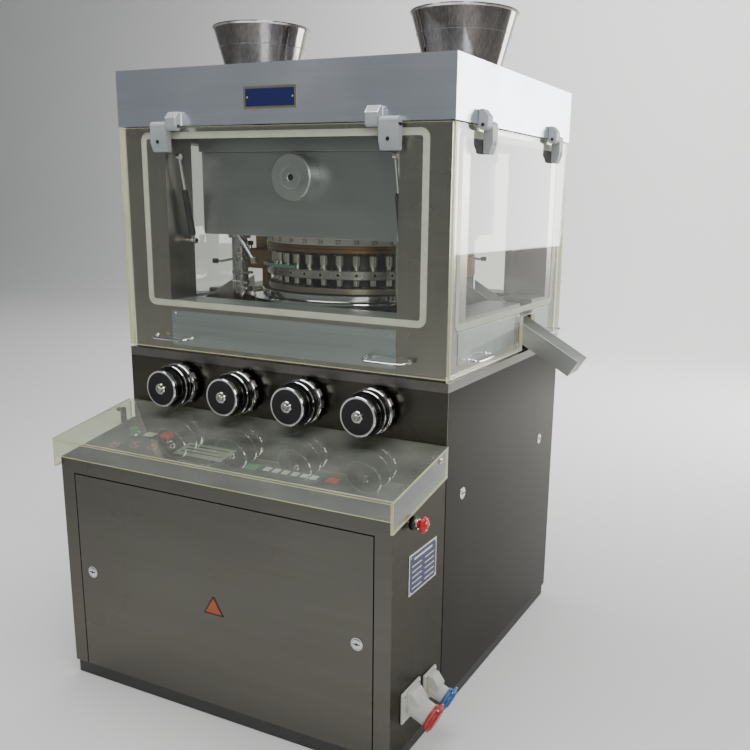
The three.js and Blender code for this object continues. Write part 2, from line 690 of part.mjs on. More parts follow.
// A discharge chute: a U-shaped trough that slopes out through the cabin's side.
function chutes() {
  const slope = 0.568;
  const wallHeight = 57;
  const start = 292;
  const floorAt = (x) => 866 - (x - halfWidth) * slope;
  const lean = 27; // the outer end is cut square to the slope
  const outline = (lift, top) => [
    [start, floorAt(start) + lift],
    [chuteReach - lean, floorAt(chuteReach - lean) + lift],
    [chuteReach, floorAt(chuteReach) + top],
    [start, floorAt(start) + top],
  ];
  const inner = [
    [start - 5, floorAt(start - 5) + 2.5], [chuteReach + 40, floorAt(chuteReach + 40) + 2.5],
    [chuteReach + 40, floorAt(chuteReach + 40) + 120], [start - 5, floorAt(start - 5) + 120],
  ];
  const trough = cut(
    prismY(outline(0, wallHeight), chuteSide[0], chuteSide[1]),
    prismY(inner, chuteSide[0] + 2, chuteSide[1] - 2),
  );
  piece("chute_right", trough, finish.ground);
  opposite(piece("chute_left", trough, finish.ground));
}

baseFrame();
cabinetPanels();
fascia();
deck();
consoleBody();
frontPanel();
locks();
consoleCover();
pushButtons();
emergencyStop();
powerSocket("red", sockets.red, finish.red);
powerSocket("blue", sockets.blue, finish.blue);
adjusters();
cabinFrame();
roof();
doors();
gasStruts();
camDrum();
turret();
punches();
drive();
head();
hoppers();
feeders();
chutes();

export default press;
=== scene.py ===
"""The looks of a double-sided rotary tablet press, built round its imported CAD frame.

Sizes are in millimetres in the press's working axes: x = 0 on the centre line, y = 0 on the
cabinet's front face, z = 0 on the floor. Pieces are turned into metres as they are finished.
"""

import logging
import math
from contextlib import contextmanager
from dataclasses import dataclass
from enum import Enum
from functools import lru_cache
from typing import Any, Iterable, Iterator, Protocol, Sequence

import bmesh
import bpy
from mathutils import Matrix, Vector
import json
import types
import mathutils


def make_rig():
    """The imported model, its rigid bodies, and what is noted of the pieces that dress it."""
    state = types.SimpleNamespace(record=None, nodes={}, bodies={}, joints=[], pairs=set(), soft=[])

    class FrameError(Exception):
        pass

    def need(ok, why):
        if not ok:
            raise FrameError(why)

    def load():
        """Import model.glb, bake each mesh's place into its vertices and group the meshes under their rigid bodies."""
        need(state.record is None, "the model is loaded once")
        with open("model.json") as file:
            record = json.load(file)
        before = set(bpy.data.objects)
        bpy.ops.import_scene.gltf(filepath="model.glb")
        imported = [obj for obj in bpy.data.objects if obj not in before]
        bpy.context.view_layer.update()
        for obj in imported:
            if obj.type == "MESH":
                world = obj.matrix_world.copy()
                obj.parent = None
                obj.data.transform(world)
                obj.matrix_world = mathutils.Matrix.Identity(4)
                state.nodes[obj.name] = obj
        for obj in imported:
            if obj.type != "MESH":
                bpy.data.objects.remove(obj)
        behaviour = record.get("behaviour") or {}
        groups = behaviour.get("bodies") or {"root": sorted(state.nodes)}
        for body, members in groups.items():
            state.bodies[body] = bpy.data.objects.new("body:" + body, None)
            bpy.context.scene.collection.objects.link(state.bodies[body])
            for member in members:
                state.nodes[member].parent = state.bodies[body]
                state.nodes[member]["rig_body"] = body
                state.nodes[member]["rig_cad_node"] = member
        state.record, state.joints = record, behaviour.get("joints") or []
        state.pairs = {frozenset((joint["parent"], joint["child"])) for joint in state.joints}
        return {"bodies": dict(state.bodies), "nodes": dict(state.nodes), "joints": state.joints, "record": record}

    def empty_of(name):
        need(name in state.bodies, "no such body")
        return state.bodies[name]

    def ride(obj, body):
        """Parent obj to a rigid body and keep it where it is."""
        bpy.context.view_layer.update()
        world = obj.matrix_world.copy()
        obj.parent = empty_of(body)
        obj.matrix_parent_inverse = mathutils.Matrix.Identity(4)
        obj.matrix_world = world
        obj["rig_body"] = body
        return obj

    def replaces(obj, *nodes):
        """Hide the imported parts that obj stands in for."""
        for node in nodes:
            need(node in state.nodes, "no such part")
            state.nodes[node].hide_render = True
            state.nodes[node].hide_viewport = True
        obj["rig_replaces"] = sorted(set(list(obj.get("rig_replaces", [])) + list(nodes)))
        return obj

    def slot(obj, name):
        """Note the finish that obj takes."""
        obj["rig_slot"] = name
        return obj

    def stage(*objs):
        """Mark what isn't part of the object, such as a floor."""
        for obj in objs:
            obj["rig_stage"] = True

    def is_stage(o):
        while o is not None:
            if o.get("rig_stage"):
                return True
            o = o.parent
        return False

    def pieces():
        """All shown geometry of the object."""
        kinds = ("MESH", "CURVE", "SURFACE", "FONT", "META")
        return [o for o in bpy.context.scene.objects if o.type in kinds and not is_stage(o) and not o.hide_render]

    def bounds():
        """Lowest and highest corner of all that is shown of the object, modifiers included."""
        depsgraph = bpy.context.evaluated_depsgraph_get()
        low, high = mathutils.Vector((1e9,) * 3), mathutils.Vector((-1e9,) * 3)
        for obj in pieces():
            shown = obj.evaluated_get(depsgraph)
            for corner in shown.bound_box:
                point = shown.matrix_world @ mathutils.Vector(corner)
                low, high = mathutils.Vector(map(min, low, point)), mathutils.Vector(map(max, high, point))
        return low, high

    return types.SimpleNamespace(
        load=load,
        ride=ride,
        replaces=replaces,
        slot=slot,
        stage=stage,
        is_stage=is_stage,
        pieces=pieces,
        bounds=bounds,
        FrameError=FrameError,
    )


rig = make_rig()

log = logging.getLogger("tablet_press")

Point = tuple[float, float, float]
Flat = tuple[float, float]

BODY_CENTRE_Y = 265.0  # working y of the frame's origin
MIDDLE = 403.0  # working y of the turret's axis
HALF_WIDTH = 475.0
SIZE_FILE = "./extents.json"


class Axis(Enum):
    """The three axes, by the direction something runs in."""

    X = (1.0, 0.0, 0.0)
    Y = (0.0, 1.0, 0.0)
    Z = (0.0, 0.0, 1.0)


# ---------------------------------------------------------------- finishes


def linear(colour: str) -> tuple[float, float, float, float]:
    """An sRGB hex colour as linear red, green, blue and alpha."""
    parts = [int(colour[i : i + 2], 16) / 255 for i in (1, 3, 5)]
    red, green, blue = (c / 12.92 if c <= 0.04045 else ((c + 0.055) / 1.055) ** 2.4 for c in parts)
    return red, green, blue, 1.0


class Shader:
    """The node tree of one material."""

    def __init__(self, name: str) -> None:
        self.material = bpy.data.materials.new(name)
        self.material.use_nodes = True
        self.tree = self.material.node_tree
        self.tree.nodes.clear()

    def add(self, kind: str, inputs: dict[Any, Any] | None = None, **settings: Any) -> bpy.types.Node:
        """Adds a node.

        Args:
            kind: the node's type without its ShaderNode prefix.
            inputs: sockets by name or number; a socket is linked, any other value is set.
            settings: the node's own properties.

        Returns:
            The new node.
        """
        node = self.tree.nodes.new("ShaderNode" + kind)
        for key, value in settings.items():
            setattr(node, key, value)
        for key, value in (inputs or {}).items():
            if isinstance(value, bpy.types.NodeSocket):
                self.tree.links.new(value, node.inputs[key])
            else:
                node.inputs[key].default_value = value
        return node

    def coords(self, scale: Point) -> bpy.types.NodeSocket:
        """Object coordinates stretched by scale, one number for each axis."""
        place = self.add("TexCoord").outputs["Object"]
        return self.add("Mapping", {"Vector": place, "Scale": scale}).outputs["Vector"]

    def noise(self, scale: Point, detail: float = 3.0) -> bpy.types.NodeSocket:
        """Noise with that many waves a metre along each axis."""
        texture = self.add("TexNoise", {"Vector": self.coords(scale), "Scale": 1.0, "Detail": detail})
        return texture.outputs["Fac"]

    def spread(self, value: bpy.types.NodeSocket, low: float, high: float) -> bpy.types.NodeSocket:
        """Noise, which lies mostly between 0.3 and 0.7, spread from low to high."""
        sockets = {"Value": value, "From Min": 0.3, "From Max": 0.7, "To Min": low, "To Max": high}
        return self.add("MapRange", sockets).outputs["Result"]

    def shade(self, colour: str, factor: bpy.types.NodeSocket) -> bpy.types.NodeSocket:
        """A colour made darker or lighter by a factor."""
        sockets = {0: 1.0, 6: linear(colour), 7: factor}
        return self.add("Mix", sockets, data_type="RGBA", blend_type="MULTIPLY").outputs[2]

    def close(self, surface: bpy.types.NodeSocket) -> bpy.types.Material:
        """Links the surface to the output and returns the material."""
        self.add("OutputMaterial", {"Surface": surface})
        return self.material


class Finish(Protocol):
    """A surface finish: its name, its slot in the record and its material."""

    name: str
    slot: str

    def build(self) -> bpy.types.Material:
        """Makes the material."""


@lru_cache(maxsize=None)
def material_of(finish: Finish) -> bpy.types.Material:
    """The one material of a finish."""
    return finish.build()


@dataclass(frozen=True)
class BrushedSteel:
    """Stainless sheet with a belt grain: long soft streaks, and a cloudy polish from handling."""

    name: str
    slot: str
    colour: str
    roughness: float = 0.3
    grain: Axis = Axis.Z
    streak: float = 0.14  # how far the streaks lighten and darken the metal
    bump: float = 0.12
    edge: float = 1.0  # how bright the metal turns at a glancing angle

    def build(self) -> bpy.types.Material:
        """Makes the material."""
        shader = Shader(self.name)
        across, along = 260.0, 2.5
        stretch = tuple(along if part else across for part in self.grain.value)
        broad = tuple(along / 2 if part else 30.0 for part in self.grain.value)
        fine = shader.noise(stretch, 4.0)
        band = shader.noise(broad, 2.0)
        cloud = shader.noise((3.2, 3.2, 3.2), 3.0)
        mixed = shader.add("Math", {0: fine, 1: band}, operation="ADD").outputs[0]
        half = shader.add("Math", {0: mixed, 1: 0.5}, operation="MULTIPLY").outputs[0]
        tone = shader.spread(half, 1.0 - self.streak, 1.0 + self.streak)
        rough = shader.spread(cloud, self.roughness - 0.05, self.roughness + 0.07)
        lines = shader.add("Bump", {"Height": fine, "Strength": self.bump, "Distance": 0.0006})
        surface = shader.add(
            "BsdfPrincipled",
            {
                "Base Color": shader.shade(self.colour, tone),
                "Metallic": 1.0,
                "Specular Tint": (self.edge, self.edge, self.edge, 1.0),
                "Roughness": rough,
                "Normal": lines.outputs["Normal"],
            },
        )
        return shader.close(surface.outputs[0])


@dataclass(frozen=True)
class BrightMetal:
    """Polished, plated or turned metal: clean reflections with faint rub marks."""

    name: str
    slot: str
    colour: str
    roughness: float = 0.1
    wear: float = 0.05
    tarnish: float = 0.08

    def build(self) -> bpy.types.Material:
        """Makes the material."""
        shader = Shader(self.name)
        marks = shader.noise((45.0, 45.0, 45.0), 5.0)
        tone = shader.spread(shader.noise((14.0, 14.0, 14.0)), 1.0 - self.tarnish, 1.0)
        surface = shader.add(
            "BsdfPrincipled",
            {
                "Base Color": shader.shade(self.colour, tone),
                "Metallic": 1.0,
                "Roughness": shader.spread(marks, self.roughness, self.roughness + self.wear),
            },
        )
        return shader.close(surface.outputs[0])


@dataclass(frozen=True)
class Coating:
    """Paint, plastic, rubber or printed film: an even colour with a fine texture and light handling marks."""

    name: str
    slot: str
    colour: str
    roughness: float = 0.4
    pebble: float = 0.05  # strength of the fine texture
    glow: float = 0.0  # light given off, for lamps and light strips

    def build(self) -> bpy.types.Material:
        """Makes the material."""
        shader = Shader(self.name)
        grain = shader.noise((900.0, 900.0, 900.0), 2.0)
        tone = shader.spread(shader.noise((20.0, 20.0, 20.0), 4.0), 0.9, 1.05)
        skin = shader.add("Bump", {"Height": grain, "Strength": self.pebble, "Distance": 0.0004})
        surface = shader.add(
            "BsdfPrincipled",
            {
                "Base Color": shader.shade(self.colour, tone),
                "Roughness": shader.spread(grain, self.roughness - 0.04, self.roughness + 0.06),
                "IOR": 1.5,
                "Normal": skin.outputs["Normal"],
                "Emission Color": linear(self.colour),
                "Emission Strength": self.glow,
            },
        )
        return shader.close(surface.outputs[0])


@dataclass(frozen=True)
class ClearAcrylic:
    """Clear cast acrylic: see-through with a faint tint, a polish that reflects at a slant, and dull wipe marks."""

    name: str
    slot: str
    tint: str
    haze: float = 0.05
    index: float = 1.49  # raised where dust and polish make the sheet reflect more

    def build(self) -> bpy.types.Material:
        """Makes the material."""
        shader = Shader(self.name)
        wipes = shader.noise((9.0, 9.0, 30.0), 4.0)
        fresnel = shader.add("Fresnel", {"IOR": self.index}).outputs[0]
        inside = shader.add("NewGeometry").outputs["Backfacing"]
        outside = shader.add("Math", {0: 1.0, 1: inside}, operation="SUBTRACT").outputs[0]
        shine = shader.add("Math", {0: fresnel, 1: outside}, operation="MULTIPLY").outputs[0]
        through = shader.add("BsdfTransparent", {"Color": linear(self.tint)}).outputs[0]
        rough = shader.spread(wipes, 0.01, 0.05)
        mirror = shader.add("BsdfGlossy", {"Color": (1, 1, 1, 1), "Roughness": rough}).outputs[0]
        sheet = shader.add("MixShader", {0: shine, 1: through, 2: mirror}).outputs[0]
        film = shader.add("BsdfDiffuse", {"Color": linear("#dfe3da")}).outputs[0]
        veil = shader.spread(wipes, self.haze * 0.4, self.haze)
        return shader.close(shader.add("MixShader", {0: veil, 1: sheet, 2: film}).outputs[0])


@dataclass(frozen=True)
class AcrylicEdge:
    """The sawn edge of an acrylic sheet: a pale yellow-green line with a painted glow, light given off to stand in for
    the light the edge gathers.
    """

    name: str
    slot: str
    colour: str
    painted_glow: float = 0.25

    def build(self) -> bpy.types.Material:
        """Makes the material."""
        shader = Shader(self.name)
        tone = shader.spread(shader.noise((12.0, 12.0, 12.0), 3.0), 0.75, 1.05)
        surface = shader.add(
            "BsdfPrincipled",
            {
                "Base Color": shader.shade(self.colour, tone),
                "Roughness": 0.22,
                "IOR": 1.49,
                "Transmission Weight": 0.35,
                # Painted glow: the edge gives off light though it is no lamp.
                "Emission Color": linear(self.colour),
                "Emission Strength": self.painted_glow,
            },
        )
        return shader.close(surface.outputs[0])


# Sheet and castings: streaky casing, painted darker on the side and rear panels as shade, greyer cabin and head, a
# paler roof.
# The side and rear panels take this darker copy of the casing stainless, painted shade for the dark surroundings they
# reflect; the front panel and console keep the lighter copy.
CASING_PAINTED_DARK = BrushedSteel("brushed stainless casing", "brushed_stainless", "#3b3833", 0.2, Axis.Z, 0.06, 0.08, 0.68)
CASING_ACROSS = BrushedSteel(
    "brushed stainless casing, level grain", "brushed_stainless", "#66645e", 0.24, Axis.X, 0.06, 0.08, 0.4,
)
FASCIA = BrushedSteel("brushed stainless fascia", "brushed_stainless", "#57544d", 0.28, Axis.X, 0.08)
CABIN = BrushedSteel("brushed stainless cabin posts", "brushed_stainless", "#a8a39c", 0.28, Axis.Z, 0.08)
SILL = BrushedSteel("satin stainless sill", "brushed_stainless", "#b9bfc2", 0.36, Axis.X)
ROOF = BrushedSteel("satin stainless roof", "roof_stainless", "#e6eaf2", 0.33, Axis.X, 0.05)
HEAD = BrushedSteel("machined head casting", "cast_housing", "#a6a9ab", 0.4, Axis.X, 0.05)
DECK = BrushedSteel("ground deck plate", "ground_steel", "#7f7d77", 0.3, Axis.Y)
# Worked metal: sharp glints, from satin turning to a mirror.
GROUND = BrightMetal("ground tool steel", "ground_steel", "#b5b3ac", 0.2, 0.1)
TURNED = BrightMetal("turned steel cap", "ground_steel", "#c3c5c5", 0.34, 0.1)
POLISHED = BrightMetal("mirror polished steel", "polished_steel", "#dcdad6", 0.04, 0.05)
CHROME = BrightMetal("chrome plate", "chrome", "#dedede", 0.07, 0.05)
BRONZE = BrightMetal("oiled bronze", "bronze", "#8d6a45", 0.3, 0.12, 0.25)
# Paints, mouldings and prints: broad soft highlights over one colour.
ALLOY = Coating("sprayed light alloy", "alloy", "#aeb2b4", 0.42, 0.25)
CAST = Coating("grey enamel on iron", "cast_housing", "#55595a", 0.4, 0.3)
# Dark iron for real dark parts, also laid on slots, bores and recesses of bright metal as painted shade.
DARK_IRON_AND_PAINTED_SHADE = Coating("oiled dark iron and painted shade", "cast_housing", "#22211f", 0.35, 0.2)
FRAME_PAINT = Coating("grey primer", "frame_paint", "#3b3b3a", 0.6, 0.2)
MOTOR_PAINT = Coating("blue-grey motor enamel", "motor_paint", "#3f5f7a", 0.4, 0.3)
BELT = Coating("belt rubber", "belt_rubber", "#1b1b1b", 0.75, 0.4)
KNOB = Coating("black phenolic", "black_knob", "#0e0e0f", 0.2, 0.03)
SEAL = Coating("cream door seal", "acrylic", "#dcdccf", 0.6, 0.2)
RED = Coating("red moulding", "red_plastic", "#c3161f", 0.25, 0.03)
LID_RED = Coating("red socket lid", "red_plastic", "#b3151c", 0.35, 0.06)
LID_BLUE = Coating("blue socket lid", "blue_plastic", "#2167a6", 0.35, 0.06)
GREEN = Coating("green moulding", "green_plastic", "#2c8a4b", 0.3, 0.03)
LAMP = Coating("red lamp lens", "red_plastic", "#7c1218", 0.2, 0.02, 0.1)
SOCKET = Coating("light grey moulding", "socket_grey", "#c9c9bf", 0.45, 0.15)
NAVY = Coating("navy printed plate", "brushed_stainless", "#22265a", 0.3, 0.02)
WHITE = Coating("white printed film", "brushed_stainless", "#e4e4e0", 0.4, 0.02)
AMBER = Coating("amber printed film", "brushed_stainless", "#b0501e", 0.4, 0.02)
INK_AND_PAINTED_SHADE = Coating("black print and painted shade", "brushed_stainless", "#141414", 0.5, 0.02)
ALLOY_FILM = Coating("brushed label stock", "brushed_stainless", "#8f9590", 0.4, 0.05)
INK_EDGE = Coating("dark amber border", "brushed_stainless", "#3a1a0c", 0.45, 0.02)
STRUT = Coating("black strut enamel", "black_knob", "#1c1c1d", 0.25, 0.03)
RING_WHITE = Coating("white number ring", "ground_steel", "#c9c6bc", 0.45, 0.05)
BADGE = BrightMetal("satin badge rim", "roof_stainless", "#c8c2a4", 0.3, 0.08)
HOPPER = BrushedSteel("polished hopper sheet", "polished_steel", "#8f8a86", 0.09, Axis.Z, 0.5, 0.1)
PUNCH = BrightMetal("punch steel", "ground_steel", "#cfccc0", 0.16, 0.08)
RING_STEEL = BrightMetal("worn ring steel", "ground_steel", "#a8a08c", 0.28, 0.1)
CHUTE = BrushedSteel("brushed chute sheet", "ground_steel", "#e0e2df", 0.36, Axis.X, 0.08)
# The green guard strip gives off a faint painted glow, as the acrylic edges do.
GUARD = AcrylicEdge("green guard strip", "acrylic", "#5f9e88", 0.1)
STRIP = Coating("milky light strip", "brushed_stainless", "#767c7a", 0.35, 0.02)
# Acrylic: clear doors, a hazier cover and edges with a painted glow.
ACRYLIC = ClearAcrylic("clear acrylic", "acrylic", "#fbfcf9", 0.02)
COVER = ClearAcrylic("clear acrylic cover", "acrylic", "#f6f8ef", 0.13, 2.1)
EDGE = AcrylicEdge("sawn acrylic edge", "acrylic", "#c9c8a0")


# ---------------------------------------------------------------- building


def facing(direction: Sequence[float]) -> Matrix:
    """A turn that takes +Z to a direction."""
    return Vector((0, 0, 1)).rotation_difference(Vector(direction)).to_matrix().to_4x4()


def placed(point: Sequence[float], direction: Sequence[float] = (0, 0, 1)) -> Matrix:
    """A place whose +Z faces a direction."""
    return Matrix.Translation(Vector(point)) @ facing(direction)


class Form:
    """A mesh under construction. Parts are added in working millimetres, or in a local place."""

    def __init__(self, place: Matrix | None = None) -> None:
        self.mesh = bmesh.new()
        self.place = place or Matrix.Identity(4)

    @contextmanager
    def at(self, place: Matrix) -> Iterator[None]:
        """Works in a place local to the present one, then goes back."""
        keep = self.place
        self.place = keep @ place
        yield
        self.place = keep

    def _take(self, part: bmesh.types.BMesh, slot: int | None) -> None:
        """Adds a finished part to the form and frees it."""
        if slot is not None:
            for face in part.faces:
                face.material_index = slot
        part.transform(self.place)
        scratch = bpy.data.meshes.new("scratch")
        part.to_mesh(scratch)
        part.free()
        self.mesh.from_mesh(scratch)
        bpy.data.meshes.remove(scratch)

    def _take_curve(self, curve: bpy.types.Curve, place: Matrix, slot: int) -> "Form":
        """Adds a curve's mesh in a place and removes the curve."""
        holder = bpy.data.objects.new("curve", curve)
        mesh = bpy.data.meshes.new_from_object(holder)
        part = bmesh.new()
        part.from_mesh(mesh)
        bpy.data.objects.remove(holder)
        bpy.data.curves.remove(curve)
        bpy.data.meshes.remove(mesh)
        part.transform(place)
        self._take(part, slot)
        return self

    @staticmethod
    def _soften(part: bmesh.types.BMesh, width: float, segments: int = 2, sharp: float = 0.6) -> None:
        """Bevels every edge sharper than an angle in radians."""
        if width <= 0:
            return
        edges = [e for e in part.edges if len(e.link_faces) == 2 and e.calc_face_angle() > sharp]
        bmesh.ops.bevel(
            part, geom=edges, offset=width, segments=segments, profile=0.5, affect="EDGES", material=-1,
            clamp_overlap=True,
        )

    def box(self, low: Point, high: Point, bevel: float = 0.0, slot: int = 0, turn: Matrix | None = None) -> "Form":
        """Adds a box between two corners, turned about its own middle if asked."""
        part = bmesh.new()
        size = Vector(high) - Vector(low)
        centre = (Vector(high) + Vector(low)) / 2
        place = Matrix.Translation(centre) @ (turn or Matrix.Identity(4)) @ Matrix.Diagonal((*size, 1))
        bmesh.ops.create_cube(part, size=1.0, matrix=place)
        self._soften(part, bevel)
        self._take(part, slot)
        return self

    def rod(
        self, start: Point, end: Point, radius: float, end_radius: float | None = None,
        bevel: float = 0.0, sides: int = 32, slot: int = 0,
    ) -> "Form":
        """Adds a round bar or cone between two points."""
        part = bmesh.new()
        line = Vector(end) - Vector(start)
        place = placed((Vector(start) + Vector(end)) / 2, line)
        top = radius if end_radius is None else end_radius
        bmesh.ops.create_cone(
            part, cap_ends=True, segments=sides, radius1=radius, radius2=top, depth=line.length, matrix=place
        )
        self._soften(part, bevel)
        self._take(part, slot)
        return self

    def lathe(
        self, outline: Sequence[Flat], steps: int = 48, slot: int = 0, slots: dict[int, int] | None = None,
        arc: Flat = (0.0, 360.0),
    ) -> "Form":
        """Turns an outline of (radius, height) points about the local Z.

        Args:
            outline: the points in order; a closed ring of section ends where it starts.
            steps: facets round the turn.
            slot: the finish of every face.
            slots: finishes of single bands of the outline, by the index of the band's first point.
            arc: where the turn starts and ends, in degrees from the local X.
        """
        part = bmesh.new()
        begin = Matrix.Rotation(math.radians(arc[0]), 3, "Z")
        rim = [part.verts.new(begin @ Vector((radius, 0.0, height))) for radius, height in outline]
        edges = [part.edges.new(pair) for pair in zip(rim, rim[1:])]
        whole = arc[1] - arc[0] >= 360.0
        bmesh.ops.spin(
            part, geom=rim + edges, cent=(0, 0, 0), axis=(0, 0, 1), angle=math.radians(arc[1] - arc[0]),
            steps=steps, use_merge=whole, use_duplicate=False,
        )
        if not whole:
            bmesh.ops.holes_fill(part, edges=[e for e in part.edges if e.is_boundary], sides=0)
        bmesh.ops.remove_doubles(part, verts=part.verts, dist=1e-4)
        bmesh.ops.recalc_face_normals(part, faces=part.faces)
        for face in part.faces:
            face.material_index = slot
        if slots:
            self._band(part, outline, slots)
        self._take(part, None)
        return self

    @staticmethod
    def _band(part: bmesh.types.BMesh, outline: Sequence[Flat], slots: dict[int, int]) -> None:
        """Gives the faces of single bands of a turned outline their own finish."""
        for index, slot in slots.items():
            (r0, h0), (r1, h1) = outline[index], outline[index + 1]
            for face in part.faces:
                found = {(round(v.co.xy.length, 2), round(v.co.z, 2)) for v in face.verts}
                if found == {(round(r0, 2), round(h0, 2)), (round(r1, 2), round(h1, 2))}:
                    face.material_index = slot

    def prism(
        self, outline: Sequence[Flat], axis: Axis, start: float, end: float, bevel: float = 0.0,
        slot: int = 0, rim: int | None = None,
    ) -> "Form":
        """Extrudes an outline along an axis.

        Args:
            outline: points on the other two axes: (y, z), (x, z) or (x, y).
            axis: the direction of the extrusion.
            start: where it starts on that axis.
            end: where it ends.
            bevel: width of the softened edges.
            slot: the finish of the two flat ends.
            rim: the finish of the faces round the outline, if it differs.
        """
        part = bmesh.new()
        made = bmesh.ops.create_circle(part, cap_ends=True, segments=len(outline), radius=1.0)
        for vert, (a, b) in zip(made["verts"], outline):
            vert.co = {Axis.X: (start, a, b), Axis.Y: (a, start, b), Axis.Z: (a, b, start)}[axis]
        grown = bmesh.ops.extrude_face_region(part, geom=part.faces[:])
        moved = [g for g in grown["geom"] if isinstance(g, bmesh.types.BMVert)]
        bmesh.ops.translate(part, verts=moved, vec=Vector(axis.value) * (end - start))
        bmesh.ops.holes_fill(part, edges=[e for e in part.edges if e.is_boundary], sides=0)
        bmesh.ops.recalc_face_normals(part, faces=part.faces)
        along = Vector(axis.value)
        for face in part.faces:
            flat_end = abs(face.normal.dot(along)) > 0.99
            face.material_index = slot if flat_end or rim is None else rim
        self._soften(part, bevel)
        self._take(part, None)
        return self

    def band(
        self, size: Flat, corner: float, width: float, thickness: float, place: Matrix, slot: int = 0,
        segments: int = 6,
    ) -> "Form":
        """Adds a flat rounded frame, such as a seal, standing on the local XY plane of a place."""
        part = bmesh.new()
        scale = Matrix.Diagonal((size[0] / 2, size[1] / 2, 1, 1)) @ Matrix.Rotation(math.pi / 4, 4, "Z")
        bmesh.ops.create_circle(part, cap_ends=True, segments=4, radius=math.sqrt(2), matrix=scale)
        bmesh.ops.bevel(
            part, geom=part.verts[:], offset=corner, segments=segments, profile=0.5, affect="VERTICES",
            material=-1,
        )
        centre = next(iter(part.faces))
        bmesh.ops.inset_individual(part, faces=[centre], thickness=width, use_even_offset=True)
        bmesh.ops.delete(part, geom=[centre], context="FACES")
        bmesh.ops.solidify(part, geom=part.faces[:], thickness=thickness)
        bmesh.ops.recalc_face_normals(part, faces=part.faces)
        floor = min(v.co.z for v in part.verts)
        bmesh.ops.translate(part, verts=part.verts, vec=(0, 0, -floor))
        part.transform(place)
        self._take(part, slot)
        return self

    def wire(self, points: Sequence[Point], radius: float, slot: int = 0, smooth: bool = False) -> "Form":
        """Adds a round wire or tube along points, with rounded bends if smooth."""
        curve = bpy.data.curves.new("path", "CURVE")
        curve.dimensions = "3D"
        curve.bevel_depth = radius
        curve.bevel_resolution = 3
        curve.resolution_u = 6
        curve.use_fill_caps = True
        line = curve.splines.new("NURBS" if smooth else "POLY")
        line.points.add(len(points) - 1)
        for knot, place in zip(line.points, points):
            knot.co = (*place, 1.0)
        if smooth:
            line.use_endpoint_u = True
            line.order_u = 3
        return self._take_curve(curve, Matrix.Identity(4), slot)

    def text(self, words: str, height: float, place: Matrix, slot: int = 0) -> "Form":
        """Adds raised figures centred on the local XY plane of a place."""
        curve = bpy.data.curves.new("figures", "FONT")
        curve.body = words
        curve.size = height
        curve.align_x = "CENTER"
        curve.align_y = "CENTER"
        curve.extrude = 0.15
        curve.resolution_u = 3
        return self._take_curve(curve, place, slot)

    def piece(
        self, name: str, body: str, finishes: Sequence[Finish], replaces: Iterable[str] = (), smooth: float = 26.0,
    ) -> bpy.types.Object:
        """Turns the form into a Blender object that rides on a body.

        Args:
            name: the object's name.
            body: the CAD body it moves with.
            finishes: its finishes, in the order of its faces' slot numbers.
            replaces: the CAD nodes it stands for.
            smooth: edges flatter than this many degrees are shaded smooth.

        Returns:
            The object, at the origin.
        """
        name = name.replace(",", "").replace(" ", "_").replace("-", "_")
        metres = Matrix.Diagonal((0.001, 0.001, 0.001, 1)) @ Matrix.Translation((0, -BODY_CENTRE_Y, 0))
        self.mesh.transform(metres)
        mesh = bpy.data.meshes.new(name)
        self.mesh.to_mesh(mesh)
        self.mesh.free()
        for finish in finishes:
            mesh.materials.append(material_of(finish))
        mesh.shade_smooth()
        mesh.set_sharp_from_angle(angle=math.radians(smooth))
        thing = bpy.data.objects.new(name, mesh)
        bpy.context.scene.collection.objects.link(thing)
        even = thing.modifiers.new("flats stay flat", "WEIGHTED_NORMAL")
        even.keep_sharp = True
        even.weight = 100
        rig.ride(thing, body)
        nodes = tuple(replaces)
        if nodes:
            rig.replaces(thing, *nodes)
        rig.slot(thing, finishes[0].slot)
        log.info("%s: %d faces", name, len(mesh.polygons))
        return thing


def dress(frame: dict[str, Any], finish: Finish, *nodes: str, bevel: float = 1.0) -> None:
    """Gives CAD nodes a finish and softly rounded edges.

    Args:
        finish: the finish they get.
        nodes: the nodes' names.
        bevel: width of the rounding, in millimetres; 0 leaves the edges sharp.
    """
    for name in nodes:
        thing = frame["nodes"][name]
        for slot in thing.material_slots:
            slot.link = "OBJECT"
            slot.material = material_of(finish)
        if bevel > 0:
            soft = thing.modifiers.new("soft edges", "BEVEL")
            soft.width = bevel / 1000
            soft.segments = 2
            soft.limit_method = "ANGLE"
            soft.angle_limit = math.radians(50)
        log.info("%s dressed in %s", name, finish.name)


UPRIGHT = Matrix(((1, 0, 0, 0), (0, 0, -1, 0), (0, 1, 0, 0), (0, 0, 0, 1)))  # local Y up, local Z to the front
SIDEWAYS = Matrix(((0, 0, 1, 0), (1, 0, 0, 0), (0, 1, 0, 0), (0, 0, 0, 1)))  # local Y up, local Z to the right
TO_MIDDLE = Matrix.Translation((0, MIDDLE, 0))
HALF_TURN = TO_MIDDLE @ Matrix.Rotation(math.pi, 4, "Z") @ Matrix.Translation((0, -MIDDLE, 0))


def on_front(x: float, y: float, z: float) -> Matrix:
    """A place on a front face: local X right, local Y up, local Z out to the front."""
    return Matrix.Translation((x, y, z)) @ UPRIGHT


def on_right(x: float, y: float, z: float) -> Matrix:
    """A place on a right-hand face: local X to the back, local Y up, local Z out to the right."""
    return Matrix.Translation((x, y, z)) @ SIDEWAYS


